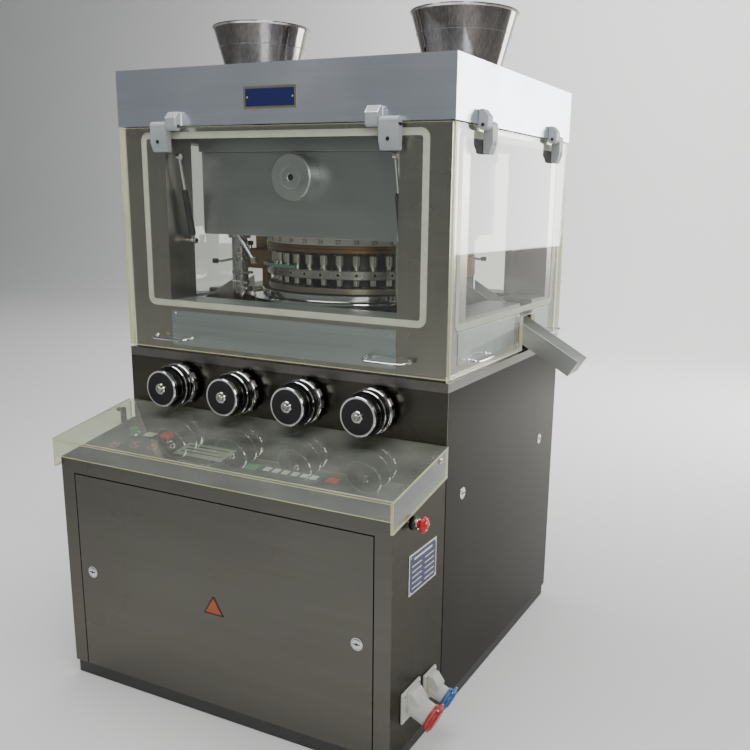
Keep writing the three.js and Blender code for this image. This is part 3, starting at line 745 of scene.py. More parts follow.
@dataclass
class Casing:
    """The lower cabinet: plinth, sheet panels, knob fascia and deck."""

    plate_size: Flat = (139.0, 96.0)
    plate_centre: Flat = (-114.5, 448.0)

    def build(self, frame: dict[str, Any]) -> None:
        """Dresses the casing and adds its plate."""
        dress(frame, FRAME_PAINT, "base_frame", bevel=0.8)
        # Painted shade: the side and rear panels take the darker copy of the casing stainless.
        dress(frame, CASING_PAINTED_DARK, "left_side_panel", "right_side_panel", "rear_panel", bevel=1.5)
        dress(frame, FASCIA, "knob_fascia", bevel=1.0)
        dress(frame, DECK, "deck_plate", bevel=1.2)
        self.nameplate()

    def nameplate(self) -> None:
        """A blank riveted plate on the console's right side: a silver border, a navy field and ruled lines."""
        wide, high = self.plate_size
        form = Form(on_right(HALF_WIDTH + 0.1, *self.plate_centre))
        form.box((-wide / 2, -high / 2, 0), (wide / 2, high / 2, 1.2), 0.4, 0)
        form.box((-wide / 2 + 4, -high / 2 + 4, 1.0), (wide / 2 - 4, high / 2 - 4, 1.5), 0.1, 1)
        for row in range(5):
            z = high / 2 - 30 - row * 13
            form.box((-wide / 2 + 14, z - 1.2, 1.4), (-8, z + 1.2, 1.7), 0, 0)
            form.box((8, z - 1.2, 1.4), (wide / 2 - 14, z + 1.2, 1.7), 0, 0)
        form.box((-wide / 2 + 24, high / 2 - 17, 1.4), (wide / 2 - 24, high / 2 - 12, 1.7), 0, 0)
        for x in (-wide / 2 + 7, wide / 2 - 7):
            for z in (-high / 2 + 7, high / 2 - 7):
                form.rod((x, z, 1), (x, z, 3), 2.4, 1.6, 0.4, 16, 0)
        form.piece("nameplate", "base", [CHROME, NAVY])


@dataclass
class QuarterTurnLocks:
    """The panel locks: a domed head with a driver slot in a thin washer."""

    head_radius: float = 12.5
    front: Sequence[Flat] = ((-391.0, 303.0), (391.0, 303.0))
    side: Sequence[Flat] = ((101.0, 556.0), (675.0, 556.0))

    def one(self, place: Matrix) -> Form:
        """A lock at a place, with its cam behind the sheet."""
        form = Form(place)
        r = self.head_radius
        form.lathe(
            [(0, 2.4), (r * 0.35, 2.4), (r * 0.8, 2.0), (r * 0.97, 1.0), (r, 0.3), (9, 0.3), (9, -9), (0, -9)], 32,
        )
        form.lathe([(r + 0.4, 0.2), (r + 2.6, 0.2), (r + 2.4, 1.1), (r + 0.4, 1.2), (r + 0.4, 0.2)], 32)
        # The driver slot is a dark bar and disc laid on the dome: painted shade standing in for the recess.
        form.rod((-8, 0, 2.1), (8, 0, 2.1), 1.5, sides=8, slot=1)
        form.rod((0, 0, 2.2), (0, 0, 2.6), 3.4, bevel=0.2, sides=24, slot=1)
        form.box((-7, -7, -11), (7, 9, -8), 0.4)
        return form

    def build(self) -> None:
        """Makes the four working locks and the two fixed ones of the left side."""
        for side, (x, z) in zip(("left", "right"), self.front):
            name = f"front_lock_{side}"
            self.one(on_front(x, -262, z)).piece(f"quarter-turn lock, front {side}", name, [CHROME, DARK_IRON_AND_PAINTED_SHADE], [name])
        for side, (y, z) in zip(("front", "rear"), self.side):
            name = f"side_lock_{side}"
            place = on_right(HALF_WIDTH, y, z)
            self.one(place).piece(f"quarter-turn lock, side {side}", name, [CHROME, DARK_IRON_AND_PAINTED_SHADE], [name])
            self.one(HALF_TURN @ place).piece(f"quarter-turn lock, left side {side}", "base", [CHROME, DARK_IRON_AND_PAINTED_SHADE])


@dataclass
class Console:
    """The control console: its sloping plate with buttons and lamps, the lift-off front and the acrylic cover."""

    front: float = -262.0
    front_height: float = 600.0
    slope: float = math.atan2(49.0, 262.0)
    start: Flat = (-388.0, -92.0)
    stop: Flat = (-270.0, -98.0)
    lamps: Sequence[Flat] = ((-383.0, -168.0), (-330.0, -152.0), (-276.0, -146.0))
    cover_front: float = -276.0
    cover_back: float = -8.0
    cover_top: float = 651.0
    skirt: float = 74.0
    wall: float = 6.0

    def on_plate(self, x: float, y: float) -> Matrix:
        """A place on the sloping plate: local Z out of the plate, local Y up the slope."""
        z = self.front_height + (y - self.front) * math.tan(self.slope)
        return Matrix.Translation((x, y, z)) @ Matrix.Rotation(self.slope, 4, "X")

    def build(self, frame: dict[str, Any]) -> None:
        """Dresses the console and adds its controls, marks and cover."""
        dress(frame, CASING_ACROSS, "console_body", bevel=1.4)
        dress(frame, CASING_ACROSS, "front_panel", bevel=1.4)
        self.buttons()
        self.indicators()
        self.labels()
        self.warning_triangle()
        self.cover()

    def buttons(self) -> None:
        """The start button in its collar, and the stop mushroom."""
        stem = [(0, -14), (8, -14), (8, 9)]
        form = Form(self.on_plate(*self.start))
        form.lathe([*stem, (13, 9), (13, 14), (12, 16.5), (9.5, 17), (0, 16.4)], 32)
        form.piece("start button", "start_button", [GREEN], ["start_button"])
        form = Form(self.on_plate(*self.stop))
        form.lathe([*stem, (15, 9.5), (17, 11.5), (17.4, 14.5), (15.5, 18.5), (10, 20.6), (0, 21.2)], 36)
        form.piece("stop mushroom", "stop_button", [RED], ["stop_button"])
        collars = Form()
        for spot, reach in ((self.start, 16.0), (self.stop, 15.0)):
            collars.place = self.on_plate(*spot)
            collars.lathe([(8.6, 0.3), (reach, 0.3), (reach, 1.6), (reach - 1.2, 2.6), (8.6, 2.6), (8.6, 0.3)], 36)
        collars.piece("button collars", "base", [CHROME])

    def indicators(self) -> None:
        """Three domed red lamps in chrome bezels."""
        form = Form()
        for spot in self.lamps:
            form.place = self.on_plate(*spot)
            form.lathe([(10.4, 0.2), (15, 0.2), (15, 3), (13.4, 5), (10.4, 5.4), (10.4, 0.2)], 32)
            form.lathe([(10, 0.2), (10, 5.6), (8.6, 9.5), (4.5, 12), (0, 12.6)], 32, 1)
        form.piece("indicator lamps", "base", [CHROME, LAMP])

    def labels(self) -> None:
        """Blank printed labels, switches and a small display on the control plate."""
        form = Form()
        spots = (
            ((-342, -84), (30, 24), 1), ((-130, -122), (150, 66), 0), ((35, -150), (34, 26), 3),
            ((146, -150), (168, 34), 2), ((258, -146), (30, 24), 4),
        )
        for spot, (wide, high), slot in spots:
            form.place = self.on_plate(*spot)
            form.box((-wide / 2, -high / 2, 0.1), (wide / 2, high / 2, 1.3), 0.4, slot)
        form.place = self.on_plate(-130, -122)
        for row in range(3):
            form.box((-62, 16 - row * 16, 1.2), (62 - 22 * (row % 2), 20 - row * 16, 1.6), 0, 5)
        form.place = self.on_plate(146, -150)
        for step in range(6):
            form.box((-74 + step * 26, -9, 1.2), (-56 + step * 26, 9, 3.2), 0.8, 1)
        for spot in ((-60, -200), (250, -205), (320, -150)):
            form.place = self.on_plate(*spot)
            form.rod((0, 0, 0.2), (0, 0, 4), 11, bevel=0.8, slot=5)
            form.rod((0, 0, 3), (0, 0, 13), 7.5, 6.5, 0.8, slot=5)
        form.piece("control plate fittings", "base", [ALLOY_FILM, WHITE, NAVY, GREEN, RED, INK_AND_PAINTED_SHADE])

    def warning_triangle(self) -> None:
        """A plain amber triangle with a dark border on the front panel."""
        form = Form(on_front(-2.5, self.front - 0.1, 277))
        corners = [(-30, 0), (30, 0), (3, 47), (-3, 47)]
        form.prism(corners, Axis.Z, 0, 0.5, 0.1, 0)
        form.prism([(-23, 4.5), (23, 4.5), (1.5, 40), (-1.5, 40)], Axis.Z, 0.4, 0.8, 0.1, 1)
        form.piece("warning triangle", "front_panel", [INK_EDGE, AMBER])

    def cover(self) -> None:
        """The acrylic cover, cemented from a lid, a front skirt and two side skirts."""
        half = HALF_WIDTH + 8
        tan = math.tan(self.slope)
        front, back, wall = self.cover_front, self.cover_back, self.wall

        def top(y: float) -> float:
            """Height of the lid's upper face at y."""
            return self.cover_top + (y - front) * tan

        form = Form()
        lid = [(front, top(front) - wall), (back, top(back) - wall), (back, top(back)), (front, top(front))]
        form.prism(lid, Axis.X, -half, half, 0.8, 1, 0)
        skirt = [
            (front, self.front_height + 4), (front + wall, self.front_height + 4),
            (front + wall, top(front + wall) - wall - 0.2), (front, top(front) - wall - 0.2),
        ]
        form.prism(skirt, Axis.X, -half + wall, half - wall, 0.8, 1, 0)
        side = [
            (front, top(front) - self.skirt), (back, top(back) - self.skirt),
            (back, top(back) - wall - 0.2), (front, top(front) - wall - 0.2),
        ]
        form.prism(side, Axis.X, half - wall, half, 0.8, 0, 1)
        form.prism(side, Axis.X, -half, wall - half, 0.8, 0, 1)
        form.piece("console cover", "console_cover", [COVER, EDGE], ["console_cover"])
        # Thin rods in the glowing edge finish along the cover's edges: painted highlight lines.
        bands = Form()
        for z in (top(front) - 1.2, self.front_height + 5.6, top(front) - wall - 1):
            bands.rod((-half + 1, front - 0.4, z), (half - 1, front - 0.4, z), 0.9, sides=10)
        for x in (-half, half):
            for drop in (1.0, self.skirt - 1.0):
                bands.rod((x, front + 1, top(front) - drop), (x, back - 1, top(back) - drop), 0.9, sides=10)
            bands.rod((x, front, top(front) - self.skirt + 1), (x, front, top(front) - 1), 1.2, sides=10)
        bands.piece("console cover painted edge highlights", "console_cover", [EDGE])
        pivots = Form()
        for x in (-half - 0.2, half + 0.2):
            out = math.copysign(1, x)
            pivots.place = placed((x, -50, 678), (out, 0, 0))
            pivots.lathe([(0, 5), (4, 4.8), (6.5, 3.4), (7.2, 1.2), (7.2, 0), (0, 0)], 28)
            # The screw's slot is a dark bar on the chrome head: painted shade standing in for the groove.
            pivots.box((-5, -0.7, 4.2), (5, 0.7, 5.2), 0, 1)
        pivots.piece("cover pivot screws", "console_cover", [CHROME, DARK_IRON_AND_PAINTED_SHADE])


@dataclass
class EmergencyStop:
    """The emergency stop on the console's right side: a red mushroom on a chrome collar and a dark base."""

    place: Point = (475.0, -165.0, 567.0)

    def build(self) -> None:
        """Makes the head and its collar."""
        head = Form(on_right(*self.place))
        head.lathe(
            [(0, 0.4), (8, 0.4), (8, 20), (15.5, 20.6), (17.6, 22.5), (18, 26), (16.4, 30), (11, 33.2), (5, 34.4),
             (0, 34.6)],
            44,
        )
        head.lathe([(17.8, 23.6), (18.7, 24.2), (18.7, 26.2), (17.8, 26.8), (17.8, 23.6)], 44)
        for turn in range(3):
            angle = turn * 2 * math.pi / 3
            x, y = 10 * math.cos(angle), 10 * math.sin(angle)
            turned = Matrix.Rotation(angle + 1.57, 4, "Z")
            head.box((x - 3.4, y - 0.8, 32.9), (x + 3.4, y + 0.8, 34.1), 0.2, 1, turned)
        head.piece("emergency stop head", "emergency_stop_head", [RED, WHITE], ["emergency_stop_head"])
        collar = Form(on_right(*self.place))
        collar.lathe([(9, 0.2), (15.5, 0.2), (15.5, 4), (14.5, 5), (9, 5), (9, 0.2)], 40, 1)
        collar.lathe([(9, 5), (13, 5), (13, 8), (12, 13.5), (9, 13.5), (9, 5)], 40)
        collar.piece("emergency stop collar", "base", [CHROME, INK_AND_PAINTED_SHADE])


@dataclass
class PowerInlets:
    """Two angled power inlets with sprung lids near the floor on the right."""

    tilt: float = 0.42

    def build(self) -> None:
        """Makes the red and the blue inlet."""
        self.inlet("red", (475.0, -169.0, 141.0), (45.5, 37.5), 29.0, 66.0, LID_RED, 4)
        self.inlet("blue", (475.0, -70.0, 131.0), (32.0, 36.0), 22.0, 58.0, LID_BLUE, 3)

    def inlet(
        self, colour: str, place: Point, flange: Flat, radius: float, reach: float, lid: Finish, pins: int,
    ) -> None:
        """One inlet.

        Args:
            colour: its name in the frame.
            place: the middle of its flange on the casing.
            flange: half the flange's width and height.
            radius: outer radius of the barrel.
            reach: length of the barrel from the casing.
            lid: the lid's finish.
            pins: number of contact sleeves.
        """
        wide, high = flange
        body = Form(on_right(*place))
        body.box((-wide, -high, 0.4), (wide, high, 6.5), 2.2)
        shoulder = [(6, -20), (30, -27), (36, 8), (20, high - 7), (6, high - 3)]
        body.place = Matrix.Translation(place)
        body.prism(shoulder, Axis.Y, -radius * 0.84, radius * 0.84, 3.0)
        barrel = Matrix.Translation(place) @ Matrix.Rotation(self.tilt, 4, "Y") @ Matrix.Rotation(math.pi / 2, 4, "Y")
        body.place = barrel
        body.lathe(
            [(radius - 7, 30), (radius - 7, reach), (radius - 1, reach), (radius, reach - 1), (radius, reach - 9),
             (radius - 2, reach - 10), (radius - 2, 22), (radius - 2, 12)],
            44, 0,
        )
        body.lathe([(0, 30), (radius - 7, 30)], 44, 2)
        body.lathe(
            [(radius - 0.4, reach - 8), (radius + 2, reach - 8), (radius + 2, reach - 2), (radius - 0.4, reach - 2)],
            44, 1,
        )
        for pin in range(pins):
            angle = 2 * math.pi * pin / pins + 0.6
            x, y = (radius - 14) * math.cos(angle), (radius - 14) * math.sin(angle)
            body.rod((x, y, 29), (x, y, 52), 2.6, bevel=0.4, sides=16, slot=2)
        body.place = on_right(*place)
        for x in (-wide + 7, wide - 7):
            for z in (-high + 7, high - 7):
                body.rod((x, z, 6), (x, z, 8.4), 4.2, 3.6, 0.5, 20, 3)
                # The screw slots are dark bars on the chrome heads: painted shade standing in for the grooves.
                body.box((x - 3, z - 0.6, 8.2), (x + 3, z + 0.6, 8.7), 0, 2)
        body.piece(f"{colour} power inlet", "base", [SOCKET, lid, INK_AND_PAINTED_SHADE, CHROME], [f"{colour}_socket"])
        cap = Form(barrel)
        rim = radius + 3
        cap.lathe(
            [(0, reach + 0.4), (rim, reach + 0.4), (rim + 0.6, reach + 2), (rim, reach + 7), (rim - 3, reach + 9.4),
             (0, reach + 10)],
            44,
        )
        cap.lathe([(rim - 9, reach + 9), (rim - 6, reach + 11), (rim - 9, reach + 11.4), (0, reach + 11)], 44)
        cap.box((-rim - 7, -11, reach), (-rim + 3, 11, reach + 8), 1.5)
        cap.rod((-rim - 3, -14, reach + 4), (-rim - 3, 14, reach + 4), 2.4, bevel=0.4, sides=16, slot=1)
        cap.box((rim - 3, -7, reach + 2), (rim + 7, 7, reach + 7), 1.5)
        lid_name = f"{colour}_socket_lid"
        cap.piece(f"{colour} inlet lid", lid_name, [lid, CHROME], [lid_name])


@dataclass
class Adjusters:
    """The four depth and pressure adjusters on the fascia: a black knob, a fluted lock ring and a boss."""

    places: Sequence[float] = (-291.0, -97.0, 97.0, 291.0)
    height: float = 764.0
    notches: int = 12

    def build(self) -> None:
        """Makes four knobs, four lock rings and their bosses."""
        for number, x in enumerate(self.places, 1):
            place = on_front(x, 0, self.height)
            knob, ring = f"adjuster_knob_{number}", f"lock_ring_{number}"
            self.knob(place).piece(f"adjuster knob {number}", knob, [KNOB, CHROME, GROUND], [knob])
            self.ring(place).piece(f"lock ring {number}", ring, [CHROME, DARK_IRON_AND_PAINTED_SHADE], [ring])
            boss = Form(place)
            boss.lathe([(24, 13), (40, 13), (41, 11.5), (41, 0.4), (46, 0.2), (46, -0.2), (24, -0.2)], 56)
            boss.piece(f"adjuster boss {number}", "base", [FASCIA])

    def knob(self, place: Matrix) -> Form:
        """The stepped black knob with bright rim lines, a ring nut and the spindle's end."""
        form = Form(place)
        form.lathe(
            [(12, -70), (12, 38), (51, 38), (53.5, 39.2), (54.4, 41), (54.4, 42.5), (53.4, 43), (53.4, 52.5),
             (54.4, 53), (54.4, 55), (53, 57), (48.5, 57.6), (46, 58), (46, 62), (47.2, 62.6), (47.2, 64.2),
             (46.4, 64.8), (46.4, 82.4), (47.2, 83), (47.2, 84.6), (46.4, 85.2), (46.4, 88), (47.4, 88.6),
             (47.4, 90.6), (46, 92), (42.4, 92), (40, 91.3), (15, 91.3), (14.4, 92)],
            72, 0, {3: 1, 4: 1, 7: 1, 8: 1, 9: 1, 14: 1, 18: 1, 22: 1, 23: 1, 24: 1},
        )
        form.lathe([(14.4, 90), (14.4, 94.5), (12.8, 96.2), (9.4, 96.2), (8.4, 95), (8.4, 93)], 48, 1)
        form.lathe([(8.2, 92), (8.2, 101.4), (7, 102.8), (3.4, 102.8), (2.6, 101), (0, 100.4)], 40, 2)
        flutes = 60
        for step in range(flutes):
            angle = 2 * math.pi * step / flutes
            x, y = math.cos(angle), math.sin(angle)
            form.rod((46.6 * x, 46.6 * y, 66), (46.6 * x, 46.6 * y, 81), 1.0, sides=6, slot=0)
        return form

    def ring(self, place: Matrix) -> Form:
        """The chrome lock ring with square spanner slots round its back half."""
        form = Form(place)
        # Bands 8 and 9, the floor and shoulder between the spanner slots' blocks, take the dark finish: painted shade
        # in the slots.
        form.lathe(
            [(13, 36), (50, 36), (54.5, 35), (56, 33), (56, 31), (55, 30), (55, 28.6), (56, 27.8), (56, 26), (51.5, 25),
             (51.5, 14.6), (50, 14), (13, 14), (13, 36)],
            72, 0, {8: 1, 9: 1},
        )
        for step in range(self.notches):
            angle = 2 * math.pi * step / self.notches
            with form.at(Matrix.Rotation(angle, 4, "Z")):
                form.box((50, -9.4, 14.2), (56, 9.4, 26.2), 1.1)
        return form


@dataclass
class Doors:
    """The four lift-up acrylic doors of the cabin, with seals, wire handles and hinge leaves."""

    low: float = 851.0
    high: float = 1412.0
    thickness: float = 10.0
    pivot: Flat = (-12.0, 1413.0)  # distance out from the door's face, and height
    doorway: tuple[float, float, float] = (485.0, 581.0, 945.0)
    hinge_places: Flat = (151.0, 645.0)

    def build(self) -> None:
        """Makes the doors and what is fixed to each."""
        steady = Matrix.Identity(4)
        self.end_door("front", steady)
        self.end_door("rear", HALF_TURN)
        self.side_door("right", steady)
        self.side_door("left", HALF_TURN)

    def end_door(self, side: str, place: Matrix) -> None:
        """A full-width door, modelled at the front and carried to its place."""
        body = f"{side}_door"
        form = Form(place)
        w = HALF_WIDTH
        outline = [(-w, self.low), (w, self.low), (w, self.high), (-w, self.high)]
        form.prism(outline, Axis.Y, 0, self.thickness, 0.9, 0, 1)
        form.piece(f"{side} door", body, [ACRYLIC, EDGE], [body])
        seal = Form(place)
        seal.band((820, 437), 22, 16, 1.5, on_front(0, 11.8, 1182.5))
        seal.piece(f"{side} door seal", body, [SEAL])
        handles = Form(place)
        for x in (-318, 318):
            self.handle(handles, on_front(x, 0, 885), 58)
        handles.piece(f"{side} door handles", body, [CHROME])
        leaves = Form(place)
        roof_leaves = Form(place)
        for sign in (-1, 1):
            self.leaf(leaves, on_front(sign * 324.5, 0, 0), 24.5)
            self.roof_leaf(roof_leaves, on_front(sign * 283, 0, 0), 16)
        nodes = ["door_hinge_left", "door_hinge_right"] if side == "front" else []
        leaves.piece(f"{side} door hinge leaves", body, [ALLOY, DARK_IRON_AND_PAINTED_SHADE], nodes)
        roof_leaves.piece(f"{side} roof hinge leaves", "base", [ALLOY, DARK_IRON_AND_PAINTED_SHADE])

    def side_door(self, side: str, place: Matrix) -> None:
        """A side door with the doorway of its chute, modelled on the right and carried to its place."""
        body = f"{side}_door"
        near, far = self.thickness + 0.5, 2 * MIDDLE - self.thickness - 0.5
        y0, y1, top = self.doorway
        outline = [
            (near, self.low), (y0, self.low), (y0, top), (y1, top), (y1, self.low), (far, self.low),
            (far, self.high), (near, self.high),
        ]
        form = Form(place)
        form.prism(outline, Axis.X, HALF_WIDTH - self.thickness, HALF_WIDTH, 0.9, 0, 1)
        form.piece(f"{side} door", body, [ACRYLIC, EDGE], [body])
        seal = Form(place)
        seal.band((702, 446), 22, 16, 1.5, on_right(463.2, MIDDLE, 1178))
        seal.piece(f"{side} door seal", body, [SEAL])
        handles = Form(place)
        for y in (162, 700):
            self.handle(handles, on_right(HALF_WIDTH, y, 883), 54)
        handles.piece(f"{side} door handles", body, [CHROME])
        leaves = Form(place)
        roof_leaves = Form(place)
        for y in self.hinge_places:
            self.leaf(leaves, on_right(HALF_WIDTH, y + 18, 0), 17)
            self.roof_leaf(roof_leaves, on_right(HALF_WIDTH, y - 16, 0), 16)
        leaves.piece(f"{side} door hinge leaves", body, [ALLOY, DARK_IRON_AND_PAINTED_SHADE])
        roof_leaves.piece(f"{side} roof hinge leaves", "base", [ALLOY, DARK_IRON_AND_PAINTED_SHADE])

    def leaf(self, form: Form, place: Matrix, half: float) -> None:
        """The door's half of a hinge: a tapered block with an eye round the pin and a clamp screw."""
        with form.at(place):
            outline = [(1352, 0.2), (1352, 15), (1374, 24), (1412.6, 23.4), (1412.6, 0.2)]
            form.prism(outline, Axis.X, -half, half, 2.6)
            form.rod((-half, 1413, 12), (half, 1413, 12), 11.3, bevel=1.2, sides=32)
            form.rod((0, 1376, 22.6), (0, 1376, 25), 4.6, bevel=0.5, sides=20, slot=1)

    def roof_leaf(self, form: Form, place: Matrix, half: float) -> None:
        """The roof's half of a hinge, with the pin's end showing."""
        with form.at(place):
            outline = [(1413.4, 1), (1413.4, 23.6), (1432, 24.4), (1447.4, 11), (1446, 0.2), (1416, 0.2)]
            form.prism(outline, Axis.X, -half - 0.3, half + 0.3, 2.6)
            form.rod((-half, 1413, 12), (half, 1413, 12), 11.5, bevel=1.2, sides=32)
            form.rod((-half - 1.4, 1413, 12), (half + 1.4, 1413, 12), 4.2, bevel=0.5, sides=20, slot=1)

    def handle(self, form: Form, place: Matrix, half: float) -> None:
        """A low wire pull with its ends turned into round feet."""
        with form.at(place):
            form.wire(
                [(-half, 0, 1), (-half, 0, 16), (-half + 5, -3, 24), (-half + 14, -4, 26), (half - 14, -4, 26),
                 (half - 5, -3, 24), (half, 0, 16), (half, 0, 1)],
                2.7, smooth=True,
            )
            for x in (-half, half):
                form.rod((x, 0, 0.1), (x, 0, 3.2), 6.2, 5.4, 0.6, 24)


@dataclass
class Cabin:
    """The cabin's posts, sill panels and ledges, and the gas struts behind the front door."""

    foot: Flat = (82.0, 1132.0)
    head: Flat = (38.0, 1343.0)
    strut_place: float = 312.0

    def build(self, frame: dict[str, Any]) -> None:
        """Dresses the frame and adds sill panels, ledges and struts."""
        dress(frame, CABIN, "cabin_frame", bevel=1.6)
        for side, place in (("front", Matrix.Identity(4)), ("rear", HALF_TURN)):
            self.sills(side, place)
        for side, sign in (("left", -1), ("right", 1)):
            self.strut(side, sign * self.strut_place)

    def sills(self, side: str, place: Matrix) -> None:
        """Screwed sill panels and pale ledges of one end and the side to its right."""
        form = Form(place)
        form.box((-334, 10.4, 862), (334, 11.8, 953), 0.5)
        form.box((463.2, 72, 874), (464.5, 444, 951), 0.5)
        form.box((463.2, 590, 874), (464.5, 730, 951), 0.5)
        form.box((-333, 15, 979.2), (333, 109, 980.8), 0.5, 1)
        form.box((366, 116, 979.2), (461, 484, 980.8), 0.5, 1)
        form.box((366, 586, 979.2), (461, 690, 980.8), 0.5, 1)
        for x in (-322, 322):
            for z in (871, 945):
                form.rod((x, 10.6, z), (x, 8.4, z), 4.4, 3.2, 0.5, 20, 2)
        for y in (84, 432, 602, 718):
            form.rod((464, y, 943), (465, y, 943), 4.4, 3.6, 0.3, 20, 2)
        form.piece(f"{side} sill panels", "base", [SILL, STRIP, CHROME])

    def strut(self, side: str, x: float) -> None:
        """A gas strut: a dark cylinder with an end fitting on the post's stud, and its bright rod."""
        rise = Vector((0, self.head[0] - self.foot[0], self.head[1] - self.foot[1]))
        length = rise.length
        lean = Matrix.Translation((x, *self.foot)) @ Matrix.Rotation(math.atan2(-rise.y, rise.z), 4, "X")
        cylinder = Form(lean)
        cylinder.rod((-5, 0, 0), (5, 0, 0), 8, bevel=1.0, sides=32, slot=1)
        cylinder.rod((0, 0, 6), (0, 0, 16), 6, 4, 0.5, 24, 1)
        cylinder.lathe([(3.2, 14), (7.4, 14), (8.8, 16), (8.8, 128), (7.6, 131), (5.2, 132.6), (5.2, 60)], 32)
        name = f"strut_cylinder_{side}"
        cylinder.piece(f"gas strut cylinder {side}", name, [STRUT, CHROME], [name])
        rod = Form(lean)
        rod.rod((0, 0, 60), (0, 0, length - 6), 4, sides=24)
        rod.rod((-5, 0, length), (5, 0, length), 8, bevel=1.0, sides=32)
        name = f"strut_rod_{side}"
        rod.piece(f"gas strut rod {side}", name, [CHROME], [name])
        studs = Form()
        out = math.copysign(1, x)
        studs.rod((x - 7 * out, *self.foot), (x - 10 * out, *self.foot), 7, bevel=0.6, sides=24)
        studs.piece(f"strut stud {side}", "base", [CHROME])


@dataclass
class Roof:
    """The roof box with a blank badge."""

    badge: Flat = (150.0, 52.0)
    badge_height: float = 1474.0

    def build(self, frame: dict[str, Any]) -> None:
        """Dresses the roof and adds its badge."""
        dress(frame, ROOF, "roof_cover", bevel=1.8)
        wide, high = self.badge
        form = Form(on_front(0, -0.1, self.badge_height))
        form.box((-wide / 2, -high / 2, 0), (wide / 2, high / 2, 1.6), 0.7)
        form.box((-wide / 2 + 6, -high / 2 + 6, 1.2), (wide / 2 - 6, high / 2 - 6, 2.2), 0.4, 1)
        for x in (-wide / 2 + 11, wide / 2 - 11):
            form.rod((x, 0, 2), (x, 0, 3.4), 2.6, 1.6, 0.3, 16)
        form.piece("blank badge", "base", [BADGE, NAVY])


@dataclass
class Turret:
    """The rotating turret: die table, punches in their rings, and the numbered ring."""

    stations: int = 33
    pitch_radius: float = 225.0
    table_radius: float = 249.0

    def angles(self) -> Iterable[float]:
        """The angle of each station."""
        return ((i + 0.5) / self.stations * 2 * math.pi for i in range(self.stations))

    def spot(self, radius: float, angle: float) -> Flat:
        """Working x and y at a radius and an angle about the turret's axis."""
        return radius * math.cos(angle), MIDDLE + radius * math.sin(angle)

    def build(self, frame: dict[str, Any]) -> None:
        """Makes the turret, the punch rings and the numbers."""
        self.body()
        self.upper_punches()
        self.lower_punches()
        self.numbers()
        dress(frame, GROUND, "main_shaft", bevel=0.8)
        dress(frame, BRONZE, "worm_wheel", bevel=0.4)

    def body(self) -> None:
        """The turned body with a die, a die screw and a drain slot at each station."""
        form = Form(TO_MIDDLE)
        r = self.table_radius
        # Bands 1 and 7, the recessed cores behind the punches, take the dark finish: painted shade in the recesses.
        form.lathe(
            [(36, 1005), (200, 1005), (200, 1043.5), (r - 1.2, 1043.5), (r, 1044.7), (r, 1065.3), (r - 1.2, 1066.5),
             (200, 1066.5), (200, 1129.5), (246, 1129.5), (247, 1130.3), (247, 1146.7), (246, 1147.5), (36, 1147.5),
             (36, 1005)],
            132, 0, {1: 2, 7: 2, 9: 1, 10: 1, 11: 1},
        )
        form.place = Matrix.Identity(4)
        for angle in self.angles():
            x0, y0 = self.spot(r - 3, angle)
            x1, y1 = self.spot(r + 0.5, angle)
            form.rod((x0, y0, 1055), (x1, y1, 1055), 6.4, bevel=0.4, sides=20, slot=3)
            x1, y1 = self.spot(r + 0.9, angle)
            # The drain slot is a dark rod just proud of the die screw: painted shade standing in for the hole.
            form.rod((x0, y0, 1055), (x1, y1, 1055), 4.4, bevel=0.3, sides=16, slot=2)
            x, y = self.spot(self.pitch_radius, angle)
            form.rod((x, y, 1064), (x, y, 1066.9), 15, bevel=0.5, sides=28, slot=3)
        form.piece("turret", "turret", [GROUND, RING_WHITE, DARK_IRON_AND_PAINTED_SHADE, CHROME], ["turret"])

    def upper_punches(self) -> None:
        """Upper punches hanging from their bronze guide ring."""
        form = Form(TO_MIDDLE)
        form.lathe(
            [(201, 1110), (245, 1110), (246, 1111), (246, 1128), (245, 1129), (201, 1129), (201, 1110)], 132, 0
        )
        form.lathe([(245.8, 1118.6), (247, 1119), (247, 1121), (245.8, 1121.4)], 132, 2)
        form.place = Matrix.Identity(4)
        for angle in self.angles():
            x, y = self.spot(self.pitch_radius, angle)
            form.rod((x, y, 1079), (x, y, 1111), 12, bevel=0.8, sides=24, slot=1)
            form.rod((x, y, 1066.9), (x, y, 1080), 8, 9, 0.5, 24, 1)
            form.rod((x, y, 1103), (x, y, 1109.8), 14.4, bevel=0.6, sides=24, slot=2)
        form.piece("upper punches and guide ring", "turret", [BRONZE, PUNCH, DARK_IRON_AND_PAINTED_SHADE], ["upper_punch_ring"])

    def lower_punches(self) -> None:
        """Lower punches standing in the lower guide ring."""
        form = Form(TO_MIDDLE)
        form.lathe(
            [(201, 1005.5), (245, 1005.5), (246, 1006.5), (246, 1020), (245, 1021), (201, 1021), (201, 1005.5)], 132
        )
        form.place = Matrix.Identity(4)
        for angle in self.angles():
            x, y = self.spot(self.pitch_radius, angle)
            form.rod((x, y, 1020), (x, y, 1043.3), 9.5, bevel=0.5, sides=24, slot=1)
            form.rod((x, y, 1021), (x, y, 1027), 13.4, bevel=0.7, sides=24, slot=2)
        form.piece("lower punches and guide ring", "turret", [RING_STEEL, PUNCH, DARK_IRON_AND_PAINTED_SHADE], ["lower_punch_ring"])

    def numbers(self) -> None:
        """The station numbers round the white ring."""
        form = Form()
        for count, angle in enumerate(self.angles(), 1):
            out = Vector((math.cos(angle), math.sin(angle), 0))
            right = Vector((-out.y, out.x, 0))
            place = Matrix.Identity(4)
            place.col[0].xyz, place.col[1].xyz, place.col[2].xyz = right, (0, 0, 1), out
            place.translation = Vector((0, MIDDLE, 1138.5)) + out * 247.1
            form.text(str(count), 15.0, place)
        form.piece("station numbers", "turret", [INK_AND_PAINTED_SHADE])


